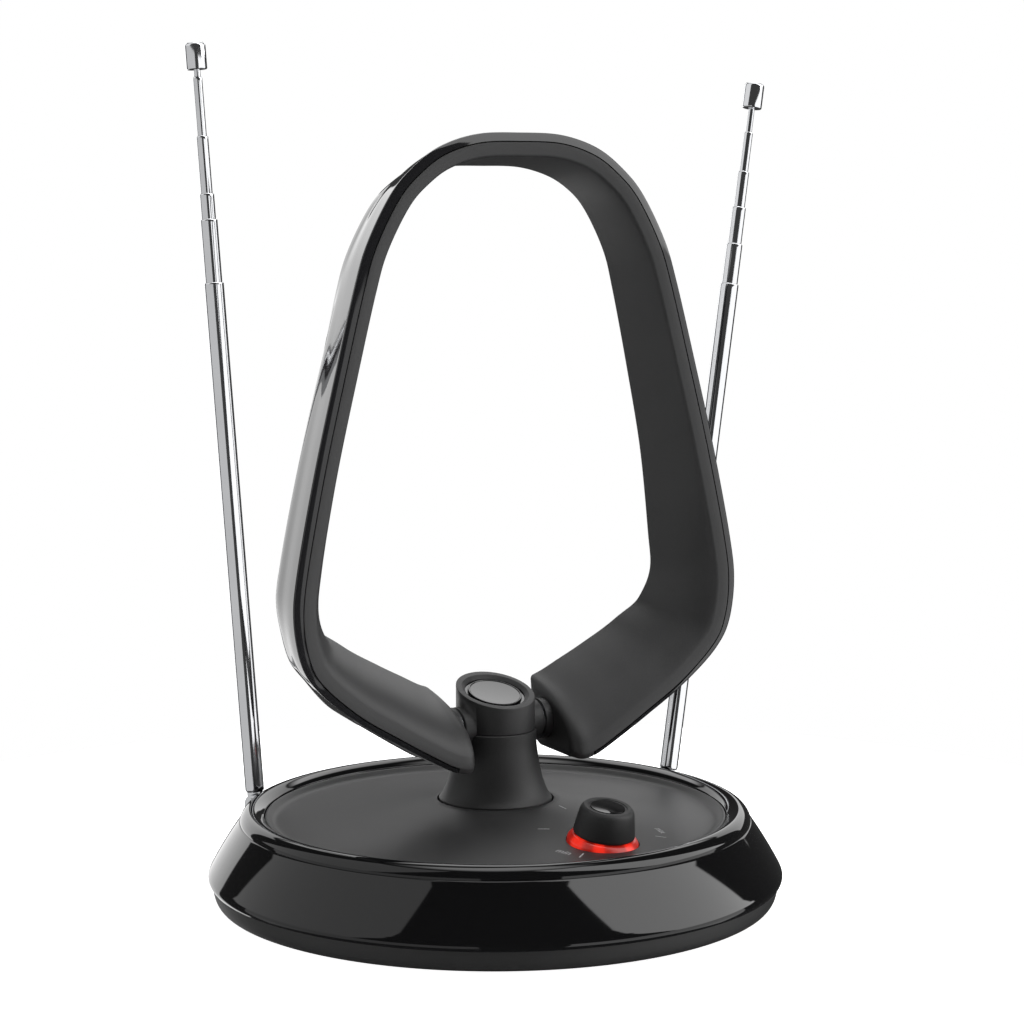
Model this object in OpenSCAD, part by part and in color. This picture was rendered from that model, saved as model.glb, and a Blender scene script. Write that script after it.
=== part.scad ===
// Amplified indoor tv antenna: a round base, a tilting and turning loop, a gain knob
// and two telescopic rods. The base's axis is at the origin, its front is -Y, the
// feet stand at z = 0, and every piece is drawn in the position of the photograph.

/* [Base] */
// Diameter of the skirt at its lower edge
base_d = 175; // [150:1:220]
// Height of the collar's crest above the table
base_h = 28.75; // [24:0.25:40]
// Height of the joint between the tray and the skirt
tray_h = 7.5; // [6:0.1:12]
// Wall thickness of the moulded pieces
wall = 2.2; // [1.6:0.1:3.5]
// Width of the sloping rim between the top plate and the skirt's lower edge
rim_w = 17.5; // [15:0.1:24]
// Diameter of the rubber pad under the base
pad_d = 132; // [100:1:140]
// Rise of the top plate from its rim to the stem
plate_rise = 6; // [2:0.5:10]

/* [Stem] */
// Radius of the stem's foot
stem_foot_r = 17.2; // [14:0.1:24]
// Radius of the stem's waist
stem_waist_r = 12.5; // [10:0.1:16]
// Height of the tilt axis above the stem's foot
tilt_up = 23; // [20:0.5:50]
// Radius of the head cap
head_r = 12; // [10:0.1:16]
// Slope of the head's cut top in degrees
head_cut = 17.6; // [0:0.1:30]
// Diameter of the tilt shaft
shaft_d = 5; // [3:0.1:6]
// Turn of the head from the base's front, in degrees
head_turn = 17.8; // [-60:0.1:60]

/* [Loop] */
// Width of the loop between its two front parting lines
loop_w = 147.8; // [120:0.1:170]
// Height of the front parting line above the tilt axis
loop_h = 174.6; // [140:0.1:220]
// Depth of the loop's section, front to back
loop_depth = 25.4; // [18:0.1:34]
// Distance of the loop's front from the tilt axis
loop_front = 18.85; // [14:0.05:26]
// Backward lean of the loop in degrees
loop_lean = 1.27; // [-10:0.01:15]
// Wall thickness of the loop's two shells
loop_wall = 1.6; // [1.2:0.1:2.4]
// Width of the flat facet beside the parting line
facet_w = 4.2; // [2:0.1:6]
// Outward bulge of the loop's glossy side
side_bulge = 5.2; // [3:0.1:7]

/* [Knob] */
// Distance of the knob from the top plate's edge
knob_in = 21.8; // [20:0.1:30]
// Direction of the knob, in degrees to the right of the base's front
knob_dir = 27.2; // [-60:0.1:60]
// Outward tilt of the knob's axis in degrees
knob_tilt = 11; // [4:0.5:14]
// Radius of the knob at its foot
knob_r = 9.1; // [7:0.1:12]
// Height of the light ring above the plate
ring_h = 2.2; // [1:0.1:4]
// Height of the knob
knob_h = 7.9; // [6:0.1:12]

/* [Rods] */
// Distance of a rod's pivot outside the groove under the collar
rod_out = 1.75; // [1.5:0.05:3]
// Direction of a rod's pivot, in degrees from straight back
rod_dir = 58; // [40:0.5:70]
// Distance of a rod's pivot below the groove under the collar
rod_drop = 1; // [0.5:0.1:1.5]
// Outside diameter of the largest tube
tube_d = 6; // [5:0.1:8]
// Step in diameter between one tube and the next
tube_step = 0.8; // [0.7:0.05:1]
// Length of the largest tube
tube_len = 160; // [120:1:200]
// Outward lean of the left rod in degrees
left_lean = 4.2; // [4.2:0.1:60]
// Outward lean of the right rod in degrees
right_lean = 10.4; // [4.2:0.1:60]

/* [Hidden] */
fine = 96;
small = 32;
// Radial clearance of a running fit
run = 0.05;
// Clearance between two pieces that are only set beside each other
seam = 0.3;
sink = 0.01;
base_r = base_d / 2;
plate_r = base_r - rim_w;
knob_at = plate_r - knob_in;
rim_r = plate_r + 0.32;
groove_z = base_h - 3.75;
groove_r = rim_r + 7.63;
rod_at = groove_r + rod_out;
rod_z = groove_z - rod_drop;
ledge_z = groove_z - 2.2;
plate_rim_z = base_h - 2.05;
trough_z = base_h - 3.75;
crown_z = trough_z + plate_rise;
tilt_z = crown_z + tilt_up;
trough_r = plate_r - 4;
aperture_r = stem_foot_r + 0.6;
crown_r = stem_foot_r + 0.8;
floor_low = 0.9;
floor_top = floor_low + wall;
tray_r = base_r - 1.2;
pad_t = 1.5;
post_at = plate_r - 18;
post_dirs = [30, 150, 212, 334];
post_r = 3.5;
screw_r = 1.5;

// Height of the top plate's surface at a distance from the axis
function plate_z(r) = trough_z + plate_rise * pow((trough_r - r) / (trough_r - crown_r), 1.7);

module ring(r_out, r_in, h) {
  difference() {
    cylinder(r = r_out, h = h, $fn = fine);
    translate([0, 0, -1]) cylinder(r = r_in, h = h + 2, $fn = fine);
  }
}

module at_each(dirs, r) {
  for (a = dirs) rotate([0, 0, a]) translate([r, 0, 0]) children();
}

skirt_out = [
  [base_r - 0.4, tray_h], [base_r - 0.1, tray_h + 0.6], [base_r, tray_h + 1.4],
  [base_r - 0.2, tray_h + 2.3], [base_r - 0.6, tray_h + 3.1], [groove_r, groove_z]
];
panel_y = base_r - 8.5;
panel_w = 52;
panel_low = tray_h + 0.8;
panel_high = ledge_z - seam;
coax_x = -12;
dc_x = 12;
coax_r = 4.75;
// Radius of the outlet's neck, which carries the nut behind the free barrel
neck_r = 5.3;
jack_z = (panel_low + panel_high) / 2;
socket_r = 4.2;
socket_top = rod_z - 5.1;
well_gap = 0.2;

module at_rods() {
  for (s = [-1, 1]) rotate([0, 0, 90 - s * rod_dir]) translate([rod_at, 0, 0]) children();
}

module bottom_tray() {
  color("#1c1c1d") difference() {
    rotate_extrude($fn = fine) polygon([
      [0, floor_low], [tray_r - 3.8, floor_low], [tray_r - 2.1, floor_low + 0.4],
      [tray_r - 0.95, floor_low + 1.8], [tray_r - 0.3, floor_low + 4.1], [tray_r, tray_h],
      [tray_r - wall, tray_h], [tray_r - wall, floor_top], [0, floor_top]
    ]);
    cylinder(d = pad_d + 2 * run, h = pad_t, $fn = fine);
    at_each(post_dirs, post_at) {
      cylinder(r = screw_r + run, h = floor_top + 1, $fn = small);
      cylinder(r = 2 * screw_r + run, h = pad_t + 0.9, $fn = small);
    }
  }
}

module skirt() {
  color("#0b0b0c") difference() {
    rotate_extrude($fn = fine) polygon(concat(skirt_out, [
      [groove_r - wall, groove_z], [groove_r - wall, groove_z - 2.6],
      [base_r - 1 - wall, tray_h + 2.6], [base_r - 0.6 - wall, tray_h]
    ]));
    at_rods() translate([0, 0, 1]) cylinder(r = socket_r + well_gap, h = base_h, $fn = small);
    translate([-panel_w / 2, panel_y - 6, panel_low])
      cube([panel_w, 20, panel_high - panel_low]);
  }
}

module collar() {
  color("#0b0b0c") difference() {
    rotate_extrude($fn = fine) polygon([
      [rim_r - 3.2, ledge_z], [groove_r - wall - run, ledge_z],
      [groove_r - wall - run, groove_z], [groove_r - 0.2, groove_z],
      [groove_r - 0.35, groove_z + 0.9], [groove_r - 0.9, groove_z + 2],
      [groove_r - 1.8, groove_z + 3], [groove_r - 2.9, groove_z + 3.6],
      [groove_r - 3.9, base_h], [groove_r - 5.2, base_h - 0.35],
      [groove_r - 6.6, base_h - 1.1], [rim_r, plate_rim_z + 0.1],
      [rim_r, ledge_z + 1.15], [rim_r - 3.2, ledge_z + 1.15]
    ]);
    at_rods() translate([0, 0, 1]) cylinder(r = socket_r + well_gap, h = base_h, $fn = small);
  }
}

// Frame of the knob: origin on the plate, z along the knob's axis
module knob_frame() {
  rotate([0, 0, knob_dir - 90]) translate([knob_at, 0, plate_z(knob_at)])
    rotate([0, knob_tilt, 0]) children();
}

ring_r = knob_r + 1.7;
board_top = -11;
board_t = 1.6;
board_l = 44;
board_w = 30;
board_post = [board_l / 2 - 4, board_w / 2 - 4];

module at_board_posts(rows = [-1, 1]) {
  for (sx = [-1, 1], sy = rows) translate([sy * board_post[1], sx * board_post[0], 0]) children();
}

plate_steps = [crown_r, crown_r + 3, crown_r + 7, crown_r + 12, crown_r + 18, crown_r + 25,
  crown_r + 33, crown_r + 41, trough_r];

module top_plate() {
  color("#39393b") difference() {
    union() {
      rotate_extrude($fn = fine) polygon(concat(
        [[aperture_r, crown_z]],
        [for (r = plate_steps) [r, plate_z(r)]],
        [
          [plate_r - 2.2, trough_z + 0.5], [plate_r - 1, plate_rim_z - 0.35],
          [plate_r - 0.5, plate_rim_z], [plate_r, plate_rim_z - 0.1],
          [plate_r, ledge_z + 1.2], [trough_r - 4, ledge_z + 1.2]
        ],
        [for (k = [len(plate_steps) - 3:-1:2]) [plate_steps[k], plate_z(plate_steps[k]) - wall]],
        [
          [crown_r + 6, swivel_top], [aperture_r + 3, swivel_top],
          [aperture_r + 3, crown_z - wall], [aperture_r, crown_z - wall]
        ]
      ));
      at_each(post_dirs, post_at) translate([0, 0, floor_top])
        cylinder(r = post_r, h = plate_z(post_at) - wall - floor_top + 0.8, $fn = small);
      knob_frame() for (s = [-1, 1]) translate([0, 0, board_top]) at_board_posts([s])
        cylinder(r = 2.6, h = s > 0 ? 0.6 - board_top : -1 - board_top, $fn = small);
    }
    at_each(post_dirs, post_at) translate([0, 0, floor_top - 1])
      cylinder(r = screw_r + run, h = 11, $fn = small);
    knob_frame() {
      translate([0, 0, -8]) cylinder(r = ring_r + run, h = 20, $fn = fine);
      at_board_posts() translate([0, 0, board_top - 1]) cylinder(r = 1 + run, h = 6, $fn = small);
    }
  }
}

module ballast_plate() {
  color("#6d7073") difference() {
    translate([0, 0, floor_top]) ring(post_at + 9, 14, 3);
    at_each(post_dirs, post_at) cylinder(r = post_r + 0.5, h = base_h, $fn = small);
  }
}

module base_pad() {
  color("#202022") cylinder(d = pad_d, h = pad_t, $fn = fine);
}

module tray_screws() {
  color("#8c8f92") at_each(post_dirs, post_at) {
    difference() {
      translate([0, 0, pad_t + 0.1]) cylinder(r = 2 * screw_r, h = 0.8, $fn = small);
      cylinder(r = 1, h = pad_t + 0.5, $fn = 6);
    }
    translate([0, 0, pad_t + 0.8]) cylinder(r = screw_r, h = 9, $fn = small);
  }
}

module circuit_board() {
  color("#1f5a37") knob_frame() difference() {
    translate([-board_w / 2, -board_l / 2, board_top - board_t]) cube([board_w, board_l, board_t]);
    at_board_posts() translate([0, 0, board_top - 3]) cylinder(r = 1 + run, h = 5, $fn = small);
  }
}

module board_screws() {
  color("#a9acae") knob_frame() at_board_posts() {
    translate([0, 0, board_top - board_t - 1]) cylinder(r = 1.9, h = 1, $fn = small);
    translate([0, 0, board_top - board_t - sink]) cylinder(r = 1, h = 5.5, $fn = small);
  }
}

module shield_can() {
  color("#b4b7ba") knob_frame() translate([-5, 12.2, board_top]) difference() {
    cube([10, 8.5, 3.2]);
    translate([0.4, 0.4, -1]) cube([9.2, 7.7, 3.8]);
  }
}

pot_r = 7.6;
knob_shaft_r = 3;

module gain_pot() {
  color("#7d7f82") knob_frame() difference() {
    union() {
      translate([0, 0, board_top]) cylinder(r = pot_r, h = 6, $fn = fine);
      translate([0, 0, board_top + 6 - sink]) cylinder(r = 4.4, h = 3, $fn = fine);
    }
    translate([0, 0, board_top + 1.5]) cylinder(r = knob_shaft_r + run, h = 12, $fn = fine);
  }
}

module light_ring() {
  color("#d8251c") knob_frame() rotate_extrude($fn = fine) polygon([
    [ring_r - 1.4, board_top + 1.6], [ring_r, board_top + 1.6], [ring_r, 0.3],
    [ring_r - 0.35, 1.1], [knob_r - 0.1, ring_h], [knob_r - 1.4, ring_h], [ring_r - 1.4, 0]
  ]);
}

module leds() {
  color("#e9e3d2") knob_frame() for (a = [45, 135, 225, 315])
    rotate([0, 0, a]) translate([ring_r - 1.7, -0.8, board_top]) cube([1.6, 1.6, 1.4]);
}

module rear_panel() {
  color("#1c1c1d") difference() {
    union() {
      translate([-panel_w / 2 + 0.1, panel_y - 4, panel_low + 0.1])
        cube([panel_w - 0.2, 2, panel_high - panel_low - 0.2]);
      for (s = [-1, 1]) translate([s * (panel_w / 2 - 1.6) - 1.5, panel_y - 5.9, panel_low + 0.1])
        cube([3, 3.9, panel_high - panel_low - 0.2]);
    }
    translate([coax_x, panel_y + 5, jack_z]) rotate([90, 0, 0]) cylinder(r = neck_r + run, h = 14, $fn = fine);
    translate([dc_x, panel_y + 5, jack_z]) rotate([90, 0, 0]) cylinder(r = 4.5 + run, h = 14, $fn = small);
  }
}

module coax_socket() {
  color("#b9a86a") translate([coax_x, 0, jack_z]) rotate([-90, 0, 0]) difference() {
    union() {
      translate([0, 0, panel_y - 14]) cylinder(r = neck_r, h = 14, $fn = fine);
      translate([0, 0, panel_y - sink]) cylinder(r = coax_r, h = 8 + sink, $fn = fine);
      translate([0, 0, panel_y - 7]) cylinder(r = 6.8, h = 3, $fn = fine);
    }
    translate([0, 0, panel_y - 4]) cylinder(r = 0.6, h = 20, $fn = small);
  }
}

module coax_nut() {
  color("#c9ccce") translate([coax_x, 0, jack_z]) rotate([-90, 0, 0])
    translate([0, 0, panel_y - 2]) difference() {
      cylinder(r = 7.1, h = 2, $fn = 6);
      translate([0, 0, -1]) cylinder(r = neck_r + run, h = 4, $fn = fine);
    }
}

module dc_jack() {
  color("#161617") translate([dc_x, 0, jack_z]) rotate([-90, 0, 0]) {
    difference() {
      union() {
        translate([-4.6, -5.4, panel_y - 14]) cube([9.2, 10.8, 10]);
        translate([0, 0, panel_y - 4 - sink]) cylinder(r = 4.5, h = 3, $fn = fine);
      }
      translate([0, 0, panel_y - 12]) cylinder(r = 2.9, h = 20, $fn = fine);
    }
    translate([0, 0, panel_y - 12.5]) cylinder(r = 1, h = 9.5, $fn = small);
  }
}

hub_r = 9.5;
swivel_top = crown_z - 4;
bush_low = swivel_top - 13;

module swivel_bush() {
  color("#c8c8c4") difference() {
    union() {
      translate([0, 0, bush_low]) cylinder(r = hub_r + 3, h = swivel_top - bush_low, $fn = fine);
      translate([0, 0, swivel_top - 2.5]) cylinder(r = crown_r + 7, h = 2.5, $fn = fine);
    }
    translate([0, 0, bush_low - 1]) cylinder(r = hub_r + run, h = 20, $fn = fine);
  }
}

module swivel_washer() {
  color("#d2d4d6") translate([0, 0, swivel_top]) ring(stem_foot_r - 1.5, hub_r + run, 0.6);
}

module rod_sockets() {
  color("#2a2a2c") at_rods() difference() {
    translate([0, 0, floor_top]) cylinder(r = socket_r, h = socket_top - floor_top, $fn = small * 2);
    translate([0, 0, socket_top - 11]) cylinder(r = stud_r + run, h = 12, $fn = small * 2);
  }
}

part_z = tilt_z - 1.7;
boss_r = 6.2;
boss_end = 14;
cut_z = tilt_z + 10.2;
disc_r = head_r - 2.85;

module turned() { rotate([0, 0, head_turn]) children(); }

module stem() {
  color("#333335") turned() difference() {
    union() {
      rotate_extrude($fn = fine) polygon([
        [0, swivel_top + 0.7], [stem_foot_r, swivel_top + 0.7], [stem_foot_r, crown_z + 0.2],
        [stem_foot_r - 1.2, crown_z + 2.2], [stem_foot_r - 2.4, crown_z + 5.2],
        [stem_foot_r - 3.4, crown_z + 9], [stem_foot_r - 4.2, crown_z + 13.5],
        [stem_waist_r, part_z - 2.2], [stem_waist_r, part_z], [0, part_z]
      ]);
      translate([0, 0, bush_low - 2.2])
        cylinder(r = hub_r, h = swivel_top + 0.7 - bush_low + 2.2 + sink, $fn = fine);
    }
    translate([0, 0, bush_low - 4]) cylinder(r = 5, h = 60, $fn = fine);
    translate([0, 0, swivel_top + 3.2]) cylinder(r = stem_waist_r - wall, h = part_z - 7.3 - swivel_top - 3.2, $fn = fine);
    translate([0, 0, bush_low - 1.2]) ring(hub_r + 1, hub_r - 1, 1.1);
    translate([-20, 0, tilt_z]) rotate([0, 90, 0]) cylinder(r = boss_r + run, h = 40, $fn = fine);
    for (s = [-1, 1]) translate([0, s * 8.6, part_z - 8]) cylinder(r = screw_r + run, h = 10, $fn = small);
  }
}

module head_cap() {
  color("#353537") turned() difference() {
    union() {
      difference() {
        translate([0, 0, part_z]) cylinder(r = head_r, h = 22, $fn = fine);
        translate([0, 0, cut_z]) rotate([head_cut, 0, 0]) translate([-30, -30, 0]) cube([60, 60, 30]);
      }
      translate([-boss_end, 0, tilt_z]) rotate([0, 90, 0]) cylinder(r = boss_r, h = 2 * boss_end, $fn = fine);
    }
    translate([-20, 0, tilt_z]) rotate([0, 90, 0]) cylinder(d = shaft_d + 2 * run, h = 40, $fn = fine);
    translate([0, 0, cut_z]) rotate([head_cut, 0, 0]) translate([0, 0, -1.6])
      cylinder(r = disc_r + run, h = 20, $fn = fine);
    translate([0, 0, cut_z]) rotate([head_cut, 0, 0]) translate([0, 0, -0.9])
      cylinder(r1 = disc_r + run, r2 = disc_r + 1.4, h = 0.9 + sink, $fn = fine);
    for (s = [-1, 1]) translate([0, s * 8.6, part_z - 1]) cylinder(r = screw_r + run, h = 5.5, $fn = small);
  }
}

module head_disc() {
  color("#0d0d0e") turned() translate([0, 0, cut_z]) rotate([head_cut, 0, 0]) translate([0, 0, -1.6])
    cylinder(r = disc_r, h = 0.8, $fn = fine);
}

module stem_screws() {
  color("#8c8f92") turned() for (s = [-1, 1]) translate([0, s * 8.6, part_z - 7.3]) {
    cylinder(r = screw_r, h = 11, $fn = small);
    translate([0, 0, -1.6]) cylinder(r = screw_r + 0.2, h = 1.6 + sink, $fn = small);
  }
}

module swivel_clip() {
  color("#9a9da0") turned() translate([0, 0, bush_low - 1.15]) difference() {
    ring(hub_r + 2, hub_r - 1, 1);
    translate([0, -3.5, -1]) cube([20, 7, 3]);
  }
}

knuckle_in = boss_end + 0.7;
knuckle_out = knuckle_in + 13;
nut_in = knuckle_in + 6.5;

module tilt_shaft() {
  color("#a5a8ab") turned() translate([-nut_in - 4, 0, tilt_z]) rotate([0, 90, 0])
    cylinder(d = shaft_d, h = 2 * nut_in + 8, $fn = fine);
}

module shaft_nuts() {
  color("#a5a8ab") turned() for (s = [-1, 1]) scale([s, 1, 1]) translate([nut_in + 0.1, 0, tilt_z])
    rotate([0, 90, 0]) difference() {
      cylinder(r = 4, h = 3, $fn = 6);
      translate([0, 0, -1]) cylinder(d = shaft_d + 2 * run, h = 5, $fn = small);
    }
}

module tilt_washers() {
  color("#c5c8ca") turned() for (s = [-1, 1]) scale([s, 1, 1]) translate([boss_end, 0, tilt_z])
    rotate([0, 90, 0]) ring(5.4, shaft_d / 2 + run, 0.6);
}

// Right half of the front parting line, from the top to the arm's end, as shares of
// half the loop's width and of its height; and the distance from it to the inner
// ridge at the back, with the direction of that distance in degrees
half_line = [
  [0, 1, 6.3, -90], [0.189, 0.997, 6.2, -97], [0.345, 0.978, 5.9, -118],
  [0.46, 0.946, 5.3, -137], [0.555, 0.904, 5.2, -151], [0.656, 0.829, 5.3, -162],
  [0.713, 0.759, 5.6, -166], [0.805, 0.615, 6.6, -168], [0.897, 0.464, 8.2, -174],
  [0.977, 0.309, 11.2, -181], [1, 0.23, 12.4, -190], [0.978, 0.163, 15.4, -203],
  [0.92, 0.118, 17.2, -216], [0.762, 0.06, 18.3, -238], [0.582, 0.013, 19.2, -249],
  [0.44, -0.022, 20.3, -256], [0.325, -0.047, 21, -262], [0.23, -0.055, 21, -270]
];
last = len(half_line) - 1;
// Rings between two listed stations
steps = 2;

function mirror_x(p) = [-p[0], p[1], p[2], -180 - p[3]];
function station(k) = k < 0 ? mirror_x(half_line[-k]) : half_line[min(k, last)];
function blend4(a, b, c, d, t) =
  0.5 * (2 * b + (c - a) * t + (2 * a - 5 * b + 4 * c - d) * t * t + (3 * b - a - 3 * c + d) * t * t * t);
function half_at(u) = let (k = min(floor(u), last - 1))
  blend4(station(k - 1), station(k), station(k + 1), station(k + 2), u - k);
function path_at(u) = u < 0 ? mirror_x(half_at(-u)) : half_at(u);
function clamp01(v) = min(1, max(0, v));
function mix(a, b, t) = a + (b - a) * t;
function unit(v) = v / norm(v);

// Extra depth of the section round the pivot
function tail(u) = 2.6 * clamp01((abs(u) - 12) / 4);
// Section of the inner, matte side: inward distance and depth from the front
function bend(a, b, c, t) = a * (1 - t) * (1 - t) + b * 2 * t * (1 - t) + c * t * t;
function inner_line(reach, u) = let (
    a = [facet_w, 0.5],
    b = [max(0.75 * reach, facet_w + 1), 5],
    c = [reach, loop_depth + tail(u)])
  concat([[0, 0]], [for (t = [0, 0.1, 0.22, 0.38, 0.55, 0.76, 1]) bend(a, b, c, t)]);
// Section of the outer, glossy side
function outer_line(reach, u) = let (
    w = clamp01((reach - 7) / 12),
    s = mix(1, 0.6, clamp01((abs(u) - 12) / 5)),
    back = loop_depth + tail(u))
  [[-seam, 0], [-2.4 * s, 1.8], [-(side_bulge - 0.8) * s, 3.6], [-side_bulge * s, 5.8],
   [-mix(3.6, 5, w) * s, 9.5], [-mix(1, 4.7, w) * s, 15],
   [mix(1.4, -3.6 * s, w), back - mix(5.2, 4, w)],
   [mix(0.5 * reach, 1.6, w), back - mix(2.4, 0.9, w)], [reach - 2.1, back]];
// Direction to the hollow at point k of a section line
function aside(line, k, turn) = let (
    a = line[max(0, k - 1)],
    b = line[min(len(line) - 1, k + 1)],
    d = unit(b - a))
  turn * [-d[1], d[0]];
function strip(line, turn, edge, far) = concat(line, [for (k = [len(line) - 1:-1:0])
  k == len(line) - 1 ? line[k] + [-turn * edge, 0] : k == 0 ? line[0] + [0, far] :
  line[k] + aside(line, k, turn) * far]);
function place(p, s) = let (
    half_w = loop_w / 2,
    dir = [cos(s[3]), sin(s[3])])
  [s[0] * half_w + dir[0] * p[0], p[1] - loop_front, s[1] * loop_h + dir[1] * p[0]];
function shell_ring(u) = let (s = path_at(u))
  [for (p = strip(inner_line(s[2], u), 1, 0.95, loop_wall)) place(p, s)];
function cover_ring(u) = let (s = path_at(u))
  [for (p = strip(outer_line(s[2], u), -1, 0.8, loop_wall - 0.1)) place(p, s)];
function block_ring(u) = let (s = path_at(u), o = outer_line(s[2], u))
  [for (p = concat(inner_line(s[2], u), [for (k = [len(o) - 1:-1:1]) o[k]])) place(p, s)];
// Last ring of an arm, drawn in towards its middle to round the end
function end_ring(side) = let (
    r = block_ring(side * last),
    m = [r[0][0], -6, -0.5])
  [for (p = r) mix(p, m, 0.14)];
function lift_ring(u) = let (
    s = path_at(u),
    line = inner_line(s[2], u),
    a = [for (k = [3:5]) line[k] + aside(line, k, 1) * (loop_wall + 0.2)],
    b = [for (k = [5:-1:3]) line[k] + aside(line, k, 1) * (loop_wall + 1)])
  [for (p = concat(a, b)) place(p, s)];

// Solid through a list of rings that all have the same number of points
module skin(rings) {
  n = len(rings[0]);
  m = len(rings);
  polyhedron(
    points = [for (r = rings, p = r) p],
    faces = concat(
      [for (j = [0:m - 2], i = [0:n - 1]) [j * n + i, j * n + (i + 1) % n, (j + 1) * n + i]],
      [for (j = [0:m - 2], i = [0:n - 1]) [(j + 1) * n + i, j * n + (i + 1) % n, (j + 1) * n + (i + 1) % n]],
      [[for (i = [n - 1:-1:0]) i]],
      [[for (i = [0:n - 1]) (m - 1) * n + i]]
    )
  );
}

module loop_frame() {
  turned() translate([0, 0, tilt_z]) rotate([-loop_lean, 0, 0]) children();
}

cover_stop = last - 1;

module loop_cover() {
  color("#0a0a0b") loop_frame()
    skin([for (k = [-cover_stop * steps:cover_stop * steps]) cover_ring(k / steps)]);
}

block_at = [cover_stop + 0.06, last - 0.6, last - 0.2];

module loop_shell() {
  color("#3b3b3d") loop_frame() difference() {
    skin(concat(
      [end_ring(-1)],
      [for (k = [2:-1:0]) block_ring(-block_at[k])],
      [for (k = [-cover_stop * steps:cover_stop * steps]) shell_ring(k / steps)],
      [for (u = block_at) block_ring(u)],
      [end_ring(1)]
    ));
    translate([-knuckle_out - 0.1, 0, 0]) rotate([0, 90, 0])
      cylinder(r = boss_r + run, h = 2 * knuckle_out + 0.2, $fn = small * 2);
  }
}

module loop_element() {
  color("#b08d57") loop_frame()
    skin([for (k = [-(cover_stop - 2) * steps:(cover_stop - 2) * steps]) lift_ring(k / steps)]);
}

module knuckle() {
  translate([knuckle_in, 0, 0]) rotate([0, 90, 0]) difference() {
    cylinder(r = boss_r, h = knuckle_out - knuckle_in, $fn = small * 2);
    translate([0, 0, -1]) cylinder(d = shaft_d + 2 * run, h = 30, $fn = small * 2);
    translate([0, 0, nut_in - knuckle_in]) cylinder(r = 4.3, h = 30, $fn = small);
  }
}

module knuckle_left() { color("#3b3b3d") loop_frame() mirror([1, 0, 0]) knuckle(); }

module knuckle_right() { color("#3b3b3d") loop_frame() knuckle(); }

knob_low = ring_h + seam;

module knob() {
  color("#333335") knob_frame() translate([0, 0, knob_low]) difference() {
    rotate_extrude($fn = fine) polygon([
      [0, 0], [knob_r - 0.3, 0], [knob_r, 0.4], [knob_r - 0.25, 2], [knob_r - 1.1, knob_h - 1.6],
      [knob_r - 1.5, knob_h - 0.5], [knob_r - 2.1, knob_h], [0, knob_h]
    ]);
    translate([0, 0, knob_h - 0.7]) cylinder(r = knob_r - 4.6 + run, h = 2, $fn = fine);
    translate([0, 0, -1]) cylinder(r = knob_shaft_r + run, h = knob_h - 1.2, $fn = fine);
  }
}

module knob_disc() {
  color("#0d0d0e") knob_frame() translate([0, 0, knob_low + knob_h - 0.7])
    cylinder(r = knob_r - 4.6, h = 0.6, $fn = fine);
}

module pot_shaft() {
  color("#8f9194") knob_frame() translate([0, 0, board_top + 1.6])
    cylinder(r = knob_shaft_r, h = knob_low + knob_h - 2.3 - board_top - 1.6, $fn = fine);
}

stud_r = 2.5;
tube_wall = 0.3;
tongue_t = 2;
fork_w = tube_d / 2;
rivet_r = 1;
rivet_head = 0.35;
tube_foot = 3.1;
// Length of each thinner tube, and how far its top stands above the tube that holds it
inner_len = [for (k = [1:5]) tube_len - 4 * k];
left_out = [19.5, 7.9, 17.6, 18, 2];
right_out = [13.2, 12.1, 11.8, 13, 7.7];
cap_d = 6.4;
cap_h = 8.4;

function sum_to(list, n) = n <= 0 ? 0 : list[n - 1] + sum_to(list, n - 1);

// Frame of one rod's foot; side is -1 for the left one
module rod_foot(side) {
  rotate([0, 0, 90 - side * rod_dir]) translate([rod_at, 0, rod_z]) children();
}

module rod_axis(side) {
  rod_foot(side) rotate([0, side < 0 ? left_lean : right_lean, 0]) children();
}

module fork(side) {
  rod_foot(side) difference() {
    union() {
      translate([0, 0, socket_top - rod_z - 10]) cylinder(r = stud_r, h = 11, $fn = small * 2);
      translate([0, 0, socket_top - rod_z + 0.1]) cylinder(r = socket_r - 0.2, h = 1.2, $fn = small);
      for (s = [-1, 1]) {
        translate([-2.4, s > 0 ? tongue_t / 2 + run : -fork_w, socket_top - rod_z + 1])
          cube([4.8, fork_w - tongue_t / 2 - run, rod_z - socket_top - 1]);
        translate([0, s > 0 ? fork_w : -tongue_t / 2 - run, 0]) rotate([90, 0, 0])
          cylinder(r = 2.4, h = fork_w - tongue_t / 2 - run, $fn = small);
      }
    }
    translate([0, 10, 0]) rotate([90, 0, 0]) cylinder(r = rivet_r + run, h = 20, $fn = small);
  }
}

module rivet(side) {
  rod_foot(side) {
    translate([0, fork_w + rivet_head, 0]) rotate([90, 0, 0])
      cylinder(r = rivet_r, h = 2 * (fork_w + rivet_head), $fn = small);
    for (y = [fork_w + rivet_head, -fork_w]) translate([0, y, 0]) rotate([90, 0, 0])
      cylinder(r = 1.5, h = rivet_head, $fn = small);
  }
}

module outer_tube(side) {
  rod_axis(side) difference() {
    union() {
      translate([0, 0, tube_foot]) cylinder(d = tube_d, h = tube_len, $fn = small * 2);
      translate([-2.2, -tongue_t / 2, 0]) cube([4.4, tongue_t, tube_foot + 1]);
      translate([0, tongue_t / 2, 0]) rotate([90, 0, 0]) cylinder(r = 2.2, h = tongue_t, $fn = small);
    }
    translate([0, 0, tube_foot + 2]) cylinder(d = tube_d - 2 * tube_wall, h = tube_len, $fn = small * 2);
    translate([0, 10, 0]) rotate([90, 0, 0]) cylinder(r = rivet_r + run, h = 20, $fn = small);
  }
}

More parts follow.
